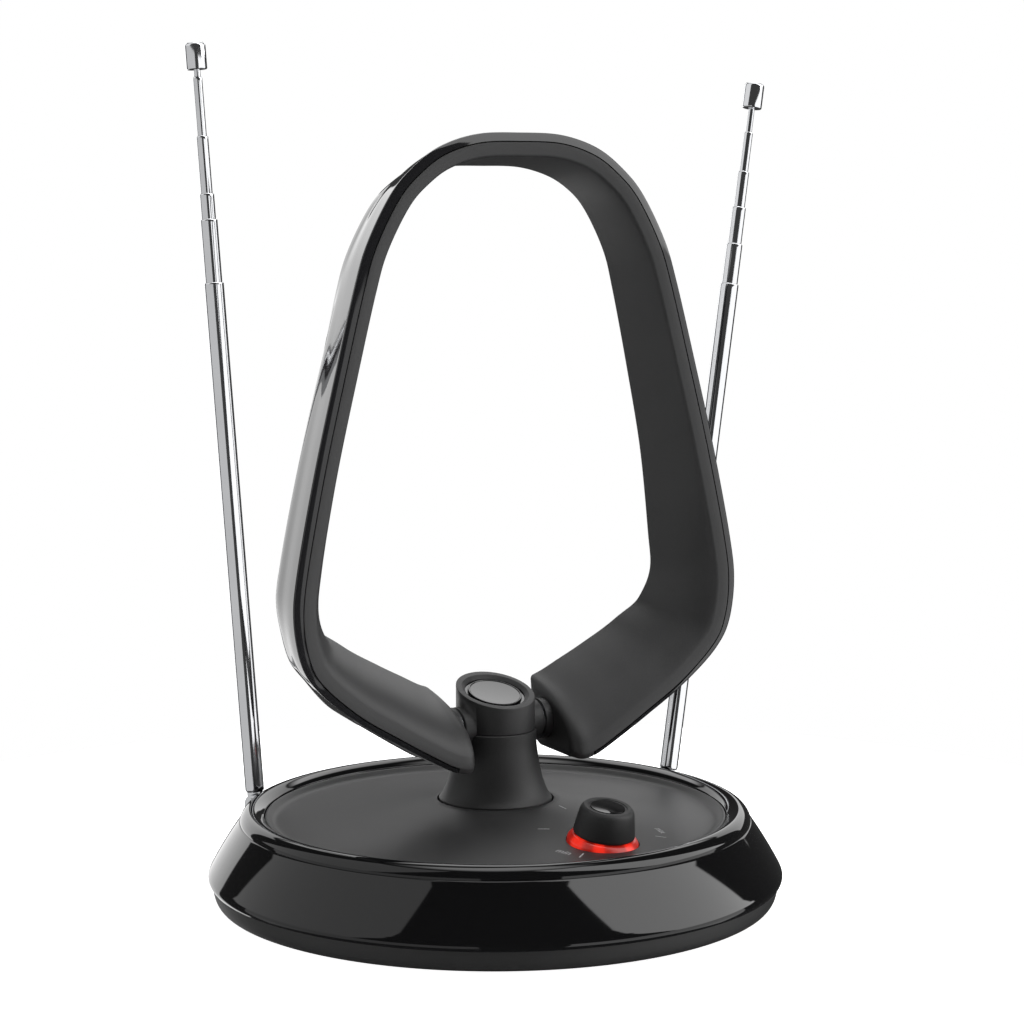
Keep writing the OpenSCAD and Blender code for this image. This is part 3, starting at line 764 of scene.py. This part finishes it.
class ANTENNA_OT_solids(bpy.types.Operator):
    """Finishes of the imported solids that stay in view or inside"""

    bl_idname = "antenna.solids"
    bl_label = "Solids"

    finishes = {
        "steel": "tray_screws board_screws stem_screws swivel_clip tilt_shaft pot_shaft"
                 " ballast_plate",
        "zinc": "shield_can gain_pot shaft_nuts tilt_washers coax_nut swivel_washer",
        "brass": "loop_element coax_socket",
        "board": "circuit_board",
        "lamp": "leds",
        "lens": "light_ring",
        "white_plastic": "swivel_bush",
        "tray_black": "bottom_tray rear_panel dc_jack rod_sockets",
        "gloss_black": "skirt collar head_disc knob_disc",
        "gloss_cover": "loop_cover",
        "plate_black": "top_plate",
        "matte_black": "stem head_cap knob",
        "charcoal": "loop_shell knuckle_left knuckle_right",
        "rubber": "base_pad",
        "chrome": "fork rivet tube tip",
    }

    def execute(self, context):
        given = set()
        for name, starts in self.finishes.items():
            for start in starts.split():
                for node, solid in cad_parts.items():
                    if node not in given and (node == start or node.startswith(start + "_")):
                        solid.data.materials.clear()
                        solid.data.materials.append(finish(name))
                        solid.data.shade_smooth()
                        solid.data.set_sharp_from_angle(angle=math.radians(30))
                        given.add(node)
        left = set(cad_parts) - given
        if left:
            raise RuntimeError(f"no finish for {sorted(left)}")
        for node in ("rear_panel", "dc_jack", "coax_nut", "shield_can", "fork_left",
                     "fork_right", "rivet_left", "rivet_right"):
            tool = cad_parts[node].modifiers.new("soften", "BEVEL")
            tool.width = 0.00015
            tool.segments = 2
            tool.limit_method = "ANGLE"
        return {"FINISHED"}


class ANTENNA_OT_base(bpy.types.Operator):
    """Tray, glossy skirt and collar, top plate and rubber pad"""

    bl_idname = "antenna.base"
    bl_label = "Base"

    def execute(self, context):
        b = sizes("antenna_base")
        r, h = mm(b.radius), mm(b.height)
        tray_h, plate_r = mm(b.tray_height), mm(b.plate_radius)
        groove_r, groove_z = groove()
        wall = 2.2
        self.tray(r, tray_h, wall, mm(b.pad_radius))
        self.skirt(r, tray_h, groove_r, groove_z, wall)
        self.collar(plate_r, h, groove_r, groove_z, wall)
        self.plate(plate_r, h, groove_z)
        self.pad(mm(b.pad_radius))
        return {"FINISHED"}

    def tray(self, r, tray_h, wall, pad_r):
        t = r - 1.2
        side = smooth_line([
            (t - 3.8, 0.9), (t - 2.1, 1.3), (t - 0.95, 2.7), (t - 0.3, 5), (t, tray_h - 0.35)], 6)
        made = piece("tray_shell", lathe(
            [(0, 1.5), (pad_r + 0.05, 1.5), (pad_r + 0.05, 0.9)] + side
            + [(t - 0.05, tray_h - 0.1), (t - 0.3, tray_h), (t - wall, tray_h),
               (t - wall, 3.1), (0, 3.1)], 256))
        dress(made, "tray_black", "base", "matte_black", "bottom_tray")

    def skirt(self, r, tray_h, groove_r, groove_z, wall):
        face = smooth_line([
            (r - 0.45, tray_h + 0.05), (r - 0.14, tray_h + 0.6), (r - 0.03, tray_h + 1.3),
            (r - 0.22, tray_h + 2.1), (r - 0.62, tray_h + 3)], 6)
        for k in range(1, 13):
            t = k / 12
            face.append((mix(r - 0.62, groove_r + 0.25, t) + 1.2 * t * (1 - t),
                         mix(tray_h + 3, groove_z - 0.45, t)))
        cone = [(groove_r + 0.02, groove_z - 0.1),
                (groove_r - 0.1, groove_z - 0.02), (groove_r - 0.35, groove_z)]
        made = piece("skirt_shell", lathe(
            [(r - 0.6, tray_h)] + face + cone + [
                (groove_r - wall, groove_z), (groove_r - wall, groove_z - 2.6),
                (r - 1 - wall, tray_h + 2.6), (r - 0.6 - wall, tray_h)], 256))
        window = piece("window", bar(-26, 26, r - 14.5, r + 10, tray_h + 0.8, groove_z - 2.5))
        cut(made, *well_cutters(), window)
        dress(made, "gloss_black", "base", "gloss_black", "skirt")

    def collar(self, plate_r, h, groove_r, groove_z, wall):
        rim = plate_r + 0.32
        crown = smooth_line([
            (groove_r - 0.25, groove_z + 0.05), (groove_r - 0.35, groove_z + 0.9),
            (groove_r - 0.9, groove_z + 2), (groove_r - 1.8, groove_z + 3),
            (groove_r - 2.9, groove_z + 3.6), (groove_r - 3.9, h),
            (groove_r - 5.2, h - 0.35), (groove_r - 6.6, h - 1.1),
            (rim + 0.12, h - 1.85)], 6)
        made = piece("collar_ring", lathe(
            [(rim - 3.2, groove_z - 2.2), (groove_r - wall - 0.05, groove_z - 2.2),
             (groove_r - wall - 0.05, groove_z), (groove_r - 0.3, groove_z)] + crown + [
                (rim, h - 2.1), (rim, groove_z - 1.05), (rim - 3.2, groove_z - 1.05)], 256))
        cut(made, *well_cutters())
        dress(made, "gloss_black", "base", "gloss_black", "collar")

    def plate(self, plate_r, h, groove_z):
        foot = mm(sizes("antenna_stem").foot_radius)
        hole, crown, trough = foot + 0.6, foot + 0.8, plate_r - 4
        cone = [(r, plate_z(r)) for r in (mix(crown, trough, t / 24) for t in range(25))]
        rim_z = h - 2.05
        made = piece("plate_cone", lathe(
            [(hole, plate_z(crown) - 0.15), (hole + 0.06, plate_z(crown) - 0.04)] + cone
            + smooth_line([
                (plate_r - 3, groove_z + 0.13), (plate_r - 2.2, groove_z + 0.5),
                (plate_r - 1.1, rim_z - 0.35), (plate_r - 0.5, rim_z),
                (plate_r, rim_z - 0.12)], 5)
            + [(plate_r, groove_z - 1), (trough - 4, groove_z - 1),
               (crown + 30, plate_z(crown + 30) - 2.2), (crown + 15, plate_z(crown + 15) - 2.2),
               (crown + 6.05, plate_z(crown) - 3.95), (hole + 3, plate_z(crown) - 3.95),
               (hole + 3, plate_z(crown) - 2.2), (hole, plate_z(crown) - 2.2)], 256))
        hole_r = mm(sizes("antenna_knob").radius) + 1.75
        cut(made, piece("hole", lathe(column(hole_r, -12, 12), 128), knob_place()))
        dress(made, "plate_black", "base", "charcoal", "top_plate")

    def pad(self, pad_r):
        r = pad_r
        rings = [(0, 1.5), (r, 1.5), (r, 0.3), (r - 0.3, 0)]
        while r > 12:
            r -= 3
            rings += [(r, 0), (r - 0.25, 0.35), (r - 0.75, 0.35), (r - 1, 0)]
        rings.append((0, 0))
        dress(piece("pad_disc", lathe(rings, 160)), "rubber", "base", "rubber_black", "base_pad")


class ANTENNA_OT_marks(bpy.types.Operator):
    """Printed dial marks on the plate"""

    bl_idname = "antenna.marks"
    bl_label = "Marks"

    def execute(self, context):
        shapes = []
        for start, stop, wide in (
                ((11.3, -56.4), (13.5, -52.9), 0.42), ((5.2, -32.0), (8.7, -32.2), 0.36),
                ((16.7, -12.9), (18.3, -15.4), 0.34), ((39.6, -37.7), (42.5, -39.3), 0.36)):
            shapes.append(self.stroke(start, stop, wide))
        for word, start, stop, tall in (
                ("min", (5.6, -50.0), (8.7, -53.7), 4.2),
                ("max", (41.6, -29.6), (42.3, -34.8), 3.4)):
            shapes.append(self.word(word, start, stop, tall))
        made = piece("dial_marks", shapes)
        dress(made, "print", "base", "charcoal")
        return {"FINISHED"}

    def on_plate(self, x, y):
        return (x, y, plate_z(math.hypot(x, y)) + 0.03)

    def stroke(self, start, stop, wide):
        a, b = Vector(start), Vector(stop)
        aside = (b - a).normalized().orthogonal() * wide / 2
        points, faces = [], []
        for k in range(7):
            here = a.lerp(b, k / 6)
            points += [self.on_plate(*(here + aside)), self.on_plate(*(here - aside))]
        for k in range(6):
            faces.append([2 * k, 2 * k + 1, 2 * k + 3, 2 * k + 2])
        return points, faces

    def word(self, text, start, stop, tall):
        """Letters laid on the plate along the line from start to stop."""
        curve = bpy.data.curves.new("word", "FONT")
        curve.body = text
        curve.size = 1
        curve.resolution_u = 3
        holder = bpy.data.objects.new("word", curve)
        bpy.context.scene.collection.objects.link(holder)
        bpy.context.view_layer.update()
        graph = bpy.context.evaluated_depsgraph_get()
        mesh = bpy.data.meshes.new_from_object(holder.evaluated_get(graph))
        bpy.data.objects.remove(holder)
        long = max(v.co.x for v in mesh.vertices)
        a, b = Vector(start), Vector(stop)
        along = (b - a) / long
        up = Vector((-along.y, along.x)).normalized() * tall
        points = [self.on_plate(*(a + along * v.co.x + up * v.co.y)) for v in mesh.vertices]
        faces = [list(p.vertices) for p in mesh.polygons]
        bpy.data.meshes.remove(mesh)
        return points, faces


class ANTENNA_OT_stem(bpy.types.Operator):
    """Flared stem, head cap with its bosses, and the inset disc"""

    bl_idname = "antenna.stem"
    bl_label = "Stem and head"

    def execute(self, context):
        s = sizes("antenna_stem")
        foot, waist, head_r, pivot = (
            mm(s.foot_radius), mm(s.waist_radius), mm(s.head_radius), mm(s.pivot_height))
        crown = plate_z(foot + 0.8)
        part_z = pivot - 1.7
        flare = smooth_line([
            (foot, crown + 0.35), (foot - 1.2, crown + 2.2), (foot - 2.4, crown + 5.2),
            (foot - 3.4, crown + 9), (foot - 4.2, crown + 13.5), (foot - 4.65, crown + 17),
            (waist, part_z - 1.4), (waist, part_z - 0.25)], 6)
        low = crown - 3.3
        made = piece("stem_body", lathe(
            [(0, low), (foot, low), (foot, crown + 0.1)] + flare
            + [(waist - 0.25, part_z), (0, part_z)], 192), turned())
        neck = piece("neck", lathe(column(9.5, low - 14.9, low + 1), 96), turned())
        cut(made, neck, operation="UNION")
        bore = piece("bore", lathe(column(5, low - 20, pivot + 4), 64), turned())
        seat = piece("seat", lathe(column(6.25, -20, 20), 96), tilt_axis())
        notch = piece("notch", lathe([
            (8.5, crown - 18.15), (12, crown - 18.15),
            (12, crown - 17.05), (8.5, crown - 17.05)], 96), turned())
        cut(made, bore, seat, notch)
        dress(made, "matte_black", "stem", "matte_black", "stem")
        self.head(head_r, pivot, part_z, math.degrees(s.cut))
        return {"FINISHED"}

    def head(self, head_r, pivot, part_z, slope):
        cut_z = pivot + 10.2
        disc_r = head_r - 2.85
        top = turned() @ shift(0, 0, cut_z) @ turn("X", slope)
        made = piece("head_shell", lathe(
            [(0, part_z), (head_r - 0.25, part_z), (head_r, part_z + 0.25),
             (head_r, part_z + 24), (0, part_z + 24)], 192), turned())
        cut(made, piece("slope", bar(-30, 30, -30, 30, 0, 40), top))
        soften(made, 0.55, 4, 40)
        boss = piece(
            "boss", lathe(rounded(column(6.2, -14, 14), {1: 0.5, 2: 0.5}), 96), tilt_axis())
        cut(made, boss, operation="UNION")
        well = piece("well", lathe(
            [(0, -1.6), (disc_r + 0.05, -1.6), (disc_r + 0.05, -0.9), (disc_r + 1.1, -0.12),
             (disc_r + 1.5, 0.15), (disc_r + 1.5, 3), (0, 3)], 128), top)
        shaft = piece("shaft", lathe(column(2.55, -20, 20), 64), tilt_axis())
        cut(made, well, shaft)
        dress(made, "matte_black", "stem", "matte_black", "head_cap", angle=28)
        disc = piece("head_inlay", lathe(rounded(
            [(0, -1.6), (disc_r, -1.6), (disc_r, -1.3), (disc_r - 0.75, -1.35),
             (disc_r - 0.9, -0.6), (disc_r - 1.3, -0.55), (disc_r - 1.45, -0.8), (0, -0.8)],
            {4: 0.15, 5: 0.12, 6: 0.12}), 128), top)
        dress(disc, "gloss_black", "stem", "gloss_black", "head_disc")


# Stations of the parting line's right half, from the top to the arm's end: x and z as
# shares of half its width and of its height, then the section's reach and direction
HALF_LINE = [
    (0, 1, 6.3, -90), (0.189, 0.997, 6.2, -97), (0.345, 0.978, 5.9, -118),
    (0.46, 0.946, 5.3, -137), (0.555, 0.904, 5.2, -151), (0.656, 0.829, 5.3, -162),
    (0.713, 0.759, 5.6, -166), (0.805, 0.615, 6.6, -168), (0.897, 0.464, 8.2, -174),
    (0.977, 0.309, 11.2, -181), (1, 0.23, 12.4, -190), (0.978, 0.163, 15.4, -203),
    (0.92, 0.118, 17.2, -216), (0.762, 0.06, 18.3, -238), (0.582, 0.013, 19.2, -249),
    (0.44, -0.022, 20.3, -256), (0.325, -0.047, 21, -262), (0.23, -0.055, 21, -270),
]
LAST = len(HALF_LINE) - 1
# Glossy side by station: how far inward it lies at its edge, side, middle and back
SIDES = [
    (4.5, (-2.8, -1.4, 0.2, 2.0)), (9.5, (-2.9, -1.9, -0.6, 1.0)),
    (10.8, (-2.7, -1.7, 0, 2.2)), (12, (-2.2, -1.4, 0, 2.1)), (13.2, (-1.7, -1.5, -0.8, 0.2)),
    (17, (-1.5, -1.5, -1.1, -0.4)),
]


class ANTENNA_OT_loop(bpy.types.Operator):
    """Glossy cover and matte shell of the loop"""

    bl_idname = "antenna.loop"
    bl_label = "Loop"

    rings = 12

    def execute(self, context):
        stop = (LAST - 1) * self.rings
        cover = piece("loop_gloss", sweep(
            [self.cover_ring(k / self.rings) for k in range(-stop, stop + 1)]), loop_place())
        dress(cover, "gloss_cover", "loop", "gloss_black", "loop_cover", angle=30)
        ends = [LAST - 0.94, LAST - 0.84, LAST - 0.76]
        fade = [(LAST - 0.7 + 0.7 * math.sin(math.pi / 2 * t / 10), t / 10) for t in range(1, 11)]
        rings = [self.end_ring(-u, t) for u, t in reversed(fade)]
        rings += [self.block_ring(-u) for u in reversed(ends)]
        rings += [self.shell_ring(k / self.rings) for k in range(-stop, stop + 1)]
        rings += [self.block_ring(u) for u in ends]
        rings += [self.end_ring(u, t) for u, t in fade]
        shell = piece("loop_matte", sweep(rings), loop_place())
        cut(shell, piece(
            "bore", lathe(column(6.25, -28, 28), 96), loop_place() @ turn("Y", 90)))
        dress(shell, "charcoal", "loop", "matte_black", "loop_shell", angle=30)
        return {"FINISHED"}

    def station(self, k):
        x, z, reach, direction = HALF_LINE[min(abs(k), LAST)]
        return (-x, z, reach, -180 - direction) if k < 0 else (x, z, reach, direction)

    def path_at(self, u):
        k = min(int(abs(u)), LAST - 1)
        near = [self.station(k + i) for i in (-1, 0, 1, 2)]
        x, z, reach, direction = blend4(*near, abs(u) - k)
        return (-x, z, reach, -180 - direction) if u < 0 else (x, z, reach, direction)

    def back(self, u):
        """Depth of the section, less at the top and more at the arms."""
        less = 1.3 * (1 + math.cos(math.pi * clamp01((abs(u) - 3) / 6)))
        return mm(sizes("antenna_loop").depth) - less + 2.6 * clamp01((abs(u) - 12) / 4)

    def inner_line(self, reach, u, fine):
        """Facet beside the parting line and the matte side behind it."""
        facet = mm(sizes("antenna_loop").facet)
        a, c = (facet, 0.5), (reach, self.back(u))
        b = (max(0.75 * reach, facet + 1), 5)
        if not fine:
            return [(0, 0)] + [bent(a, b, c, t) for t in (0, 0.1, 0.22, 0.38, 0.55, 0.76, 1)]
        edge, start = 0.8, 0.075
        first, second = (facet - edge, 0.5 * (facet - edge) / facet), bent(a, b, c, start)
        line = [(0.0, 0.16), (0.05, 0.05), (0.18, 0.02), (facet * 0.5, 0.25)]
        line += [bent(first, a, second, t) for t in (0, 0.2, 0.4, 0.6, 0.8)]
        return line + [bent(a, b, c, mix(start, 1, k / 16)) for k in range(17)]

    def side_at(self, u):
        """Places of the glossy side, outward below zero, between the two nearest stations."""
        k = 0
        while k < len(SIDES) - 2 and u > SIDES[k + 1][0]:
            k += 1
        low, high = SIDES[k], SIDES[k + 1]
        share = clamp01((u - low[0]) / (high[0] - low[0]))
        return share * share * (3 - 2 * share), list(zip(low[1], high[1]))

    def outer_line(self, reach, u, fine):
        """Glossy side from the parting line to the ridge at the back."""
        w = clamp01((reach - 7) / 12)
        back = self.back(u)
        near, far = self.side_at(abs(u))
        edge, side, middle, deep = (mix(a, b, near) for a, b in far)
        tail = [
            (side, 6.5), (middle, 12.5), (deep, back - 5.2),
            (mix(0.5 * reach, deep + 1.5, w), back - 2.2), (reach - 2.1, back)]
        if not fine:
            return [(-0.3, 0), (edge * 0.5, 0.3), (edge * 0.93, 0.75), (edge, 1.4)] + tail
        front = [(-0.3, 0), (edge * 0.3, 0.14), (edge * 0.62, 0.36), (edge * 0.9, 0.62)]
        turn_in = [(edge * 0.97, 0.74), (edge, 0.95), (edge * 0.995, 1.25)]
        return front + turn_in + smooth_line([(mix(edge, side, 0.12), 1.9)] + tail, 5)

    def strip(self, fine_line, line, side, edge, far):
        """Closed section: the visible line, then its hollow side."""
        hollow = []
        for k in range(len(line) - 1, -1, -1):
            x, y = line[k]
            if k == len(line) - 1:
                hollow.append((x - side * edge, y))
            elif k == 0:
                hollow.append((x, y + far))
            else:
                a, b = line[k - 1], line[k + 1]
                d = Vector((b[0] - a[0], b[1] - a[1])).normalized()
                hollow.append((x - side * d.y * far, y + side * d.x * far))
        return fine_line + hollow

    def put(self, p, s):
        """A point of the section at station s, in the loop's frame."""
        loop = sizes("antenna_loop")
        a = math.radians(s[3])
        return (s[0] * mm(loop.width) / 2 + math.cos(a) * p[0], p[1] - mm(loop.front),
                s[1] * mm(loop.height) + math.sin(a) * p[0])

    def shell_ring(self, u):
        s = self.path_at(u)
        section = self.strip(
            self.inner_line(s[2], u, True), self.inner_line(s[2], u, False), 1, 0.95, 1.6)
        return [self.put(p, s) for p in section]

    def cover_ring(self, u):
        s = self.path_at(u)
        section = self.strip(
            self.outer_line(s[2], u, True), self.outer_line(s[2], u, False), -1, 0.8, 1.5)
        return [self.put(p, s) for p in section]

    def block_ring(self, u):
        """Full section of an arm's end, with the shell ring's count of points."""
        s = self.path_at(u)
        outer = self.outer_line(s[2], u, False)
        return [self.put(p, s) for p in self.inner_line(s[2], u, True) + outer[:0:-1]]

    def end_ring(self, u, t):
        """Full section drawn in towards its middle as t goes to 1."""
        ring = self.block_ring(u)
        draw = 0.34 * (1 - math.cos(math.pi / 2 * t))
        x = sum(p[0] for p in ring) / len(ring)
        return [(mix(p[0], x, draw), mix(p[1], -6, draw), mix(p[2], -0.5, draw)) for p in ring]


class ANTENNA_OT_knob(bpy.types.Operator):
    """Gain knob with its inset disc, and the light ring round its foot"""

    bl_idname = "antenna.knob"
    bl_label = "Knob and light ring"

    def execute(self, context):
        k = sizes("antenna_knob")
        r, h, ring_h = mm(k.radius), mm(k.height), mm(k.ring_height)
        low = ring_h + 0.3
        place = knob_place() @ shift(0, 0, low)
        inset = r - 4
        outline = smooth_line([(r - 0.3, 0), (r, 0.4), (r - 0.2, 2), (r - 0.62, h * 0.55),
                               (r - 1.05, h - 1.6), (r - 1.45, h - 0.65), (r - 2.1, h)], 5)
        made = piece("knob_body", lathe(
            [(3.05, 0)] + outline + [
                (inset + 0.95, h), (inset + 0.75, h - 0.06), (inset + 0.62, h - 0.3),
                (inset + 0.05, h - 0.42), (inset + 0.05, h - 0.7), (3.05, h - 0.7)], 160), place)
        dress(made, "matte_black", "knob", "matte_black", "knob")
        disc = piece("knob_inlay", lathe(
            [(0, h - 0.7), (inset, h - 0.7), (inset, h - 0.25), (inset - 0.08, h - 0.12),
             (inset - 0.3, h - 0.1), (0, h + 0.02)], 96), place)
        dress(disc, "gloss_black", "knob", "gloss_black", "knob_disc")
        ring_r = r + 1.5
        guide = smooth_line([
            (ring_r, 0.25), (ring_r - 0.12, 0.75), (ring_r - 0.45, 1.2),
            (ring_r - 1.1, ring_h - 0.3), (r - 0.1, ring_h)], 5)
        ring = piece("glow_ring", lathe(
            [(ring_r - 1.4, -9.4), (ring_r, -9.4)] + guide
            + [(r - 1.4, ring_h), (ring_r - 1.4, 0)], 192), knob_place())
        dress(ring, "lens", "base", "red_lens", "light_ring")
        return {"FINISHED"}


class ANTENNA_OT_rods(bpy.types.Operator):
    """Telescoping tubes with their rolled mouths, and the tips"""

    bl_idname = "antenna.rods"
    bl_label = "Rods"

    foot = 3.1
    wall = 0.3
    # How far each tube stands out of the one that holds it
    outs = {"left": (19.5, 7.9, 17.6, 18, 2), "right": (13.2, 12.1, 11.8, 13, 7.7)}

    def execute(self, context):
        for word, side in (("left", -1), ("right", 1)):
            place = rod_axis(side)
            self.first_tube(word, place)
            for k in range(1, 6):
                self.tube(word, place, k)
            self.tip(word, place)
        return {"FINISHED"}

    def top(self, word, k):
        """Height of the top of the tube that stands on k others."""
        return self.foot + mm(sizes("antenna_rods").tube_length) + sum(self.outs[word][:k])

    def mouth(self, r, top):
        """Outline of a tube's rolled mouth, from its side over its rim to its bore."""
        return [(r, top - 1.3), (r, top - 0.5), (r - 0.02, top - 0.3), (r - 0.09, top - 0.1),
                (r - 0.2, top), (r - self.wall, top - 0.4)]

    def first_tube(self, word, place):
        r = mm(sizes("antenna_rods").tube_diameter) / 2
        made = piece(f"rod_{word}_1", lathe(
            [(0, self.foot), (r - 0.7, self.foot), (r - 0.3, 3.25), (r - 0.06, 3.65),
             (r, 4.1), (r, 4.8)]
            + self.mouth(r, self.top(word, 0)) + [(r - self.wall, 5.1), (0, 5.1)], 96), place)
        tongue = piece("tongue", bar(-2.2, 2.2, -1, 1, 0, 4.1), place)
        across = place @ turn("X", 90)
        eye = piece("eye", lathe(rounded(column(2.2, -1, 1), {1: 0.2, 2: 0.2}), 48), across)
        cut(tongue, eye, operation="UNION")
        cut(tongue, piece("pin", lathe(column(1.05, -4, 4), 32), across))
        dress(tongue, "chrome", f"rod_{word}_1", "chrome_plate")
        tongue.name = f"tongue_{word}"
        dress(made, "chrome", f"rod_{word}_1", "chrome_plate", f"tube_{word}_1")

    def tube(self, word, place, k):
        rods = sizes("antenna_rods")
        r = mm(rods.tube_diameter - k * rods.tube_step) / 2
        top, bore = self.top(word, k), r - self.wall
        low = top - mm(rods.tube_length) + 4 * k
        if k < len(self.outs[word]):
            outline = [(0, low), (r - 0.1, low), (r, low + 0.1), (r, low + 0.9)]
            outline += self.mouth(r, top) + [(bore, low + 1), (0, low + 1)]
        else:
            outline = [(0, low), (r, low), (r, top), (bore, top), (bore, top - 8), (0, top - 8)]
        made = piece(f"rod_{word}_{k + 1}", lathe(outline, 80), place)
        dress(made, "chrome", f"rod_{word}_{k + 1}", "chrome_plate", f"tube_{word}_{k + 1}")

    def tip(self, word, place):
        r, h = 3.2, 8.4
        made = piece(f"cap_{word}", lathe(
            [(0, -7), (0.65, -7), (0.65, 0.1)] + rounded(
                [(0.65, 0.1), (r, 0.1), (r, h), (0, h)], {1: 0.5, 2: 1.1})[1:], 96),
            place @ shift(0, 0, self.top(word, 5)))
        dress(made, "chrome", f"rod_{word}_6", "chrome_plate", f"tip_{word}")


class ANTENNA_OT_rear(bpy.types.Operator):
    """Thread of the coaxial outlet at the back"""

    bl_idname = "antenna.rear"
    bl_label = "Rear connectors"

    def execute(self, context):
        low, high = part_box("coax_socket")
        x, z = mm((low.x + high.x) / 2), mm((low.z + high.z) / 2)
        back = mm(sizes("antenna_base").radius) - 8.5
        profile = [(0, back - 14), (5.3, back - 14), (5.3, back - 7), (6.8, back - 7),
                   (6.8, back - 4), (5.3, back - 4), (5.3, back), (4.5, back)]
        y = back + 0.25
        while y < back + 7.2:
            profile += [(4.75, y + 0.12), (4.75, y + 0.28), (4.45, y + 0.42), (4.45, y + 0.52)]
            y += 0.65
        profile += [(4.7, back + 7.7), (4.45, back + 8), (3.5, back + 8), (3.3, back + 7.8),
                    (3.3, back + 7.2), (2.9, back + 7.1), (1.3, back + 7.1),
                    (0.6, back + 6.6), (0.6, back), (0, back)]
        made = piece("coax_thread", lathe(profile, 96), shift(x, 0, z) @ turn("X", -90))
        dress(made, "brass", "base", "brass_plate", "coax_socket")
        return {"FINISHED"}


OPERATORS = [
    ANTENNA_OT_stage, ANTENNA_OT_solids, ANTENNA_OT_base, ANTENNA_OT_marks, ANTENNA_OT_stem,
    ANTENNA_OT_loop, ANTENNA_OT_knob, ANTENNA_OT_rods, ANTENNA_OT_rear,
]


class ANTENNA_PT_pieces(bpy.types.Panel):
    """Lists the antenna's operators and their sizes"""

    bl_idname = "ANTENNA_PT_pieces"
    bl_label = "Antenna"
    bl_space_type = "VIEW_3D"
    bl_region_type = "UI"
    bl_category = "Antenna"

    def draw(self, context):
        layout = self.layout
        for operator in OPERATORS:
            layout.operator(operator.bl_idname, text=operator.bl_label)
        for group, kind in GROUPS.items():
            box = layout.box()
            box.label(text=kind.__name__)
            for name in kind.__annotations__:
                box.prop(getattr(context.scene, group), name)


def register():
    for group, kind in GROUPS.items():
        bpy.utils.register_class(kind)
        setattr(bpy.types.Scene, group, PointerProperty(type=kind))
    for kind in OPERATORS + [ANTENNA_PT_pieces]:
        bpy.utils.register_class(kind)


def unregister():
    for kind in reversed(OPERATORS + [ANTENNA_PT_pieces]):
        bpy.utils.unregister_class(kind)
    for group, kind in reversed(list(GROUPS.items())):
        delattr(bpy.types.Scene, group)
        bpy.utils.unregister_class(kind)


def main():
    register()
    bpy.ops.antenna.stage()
    bpy.ops.antenna.solids()
    bpy.ops.antenna.base()
    bpy.ops.antenna.marks()
    bpy.ops.antenna.stem()
    bpy.ops.antenna.loop()
    bpy.ops.antenna.knob()
    bpy.ops.antenna.rods()
    bpy.ops.antenna.rear()


if __name__ == "__main__":
    main()
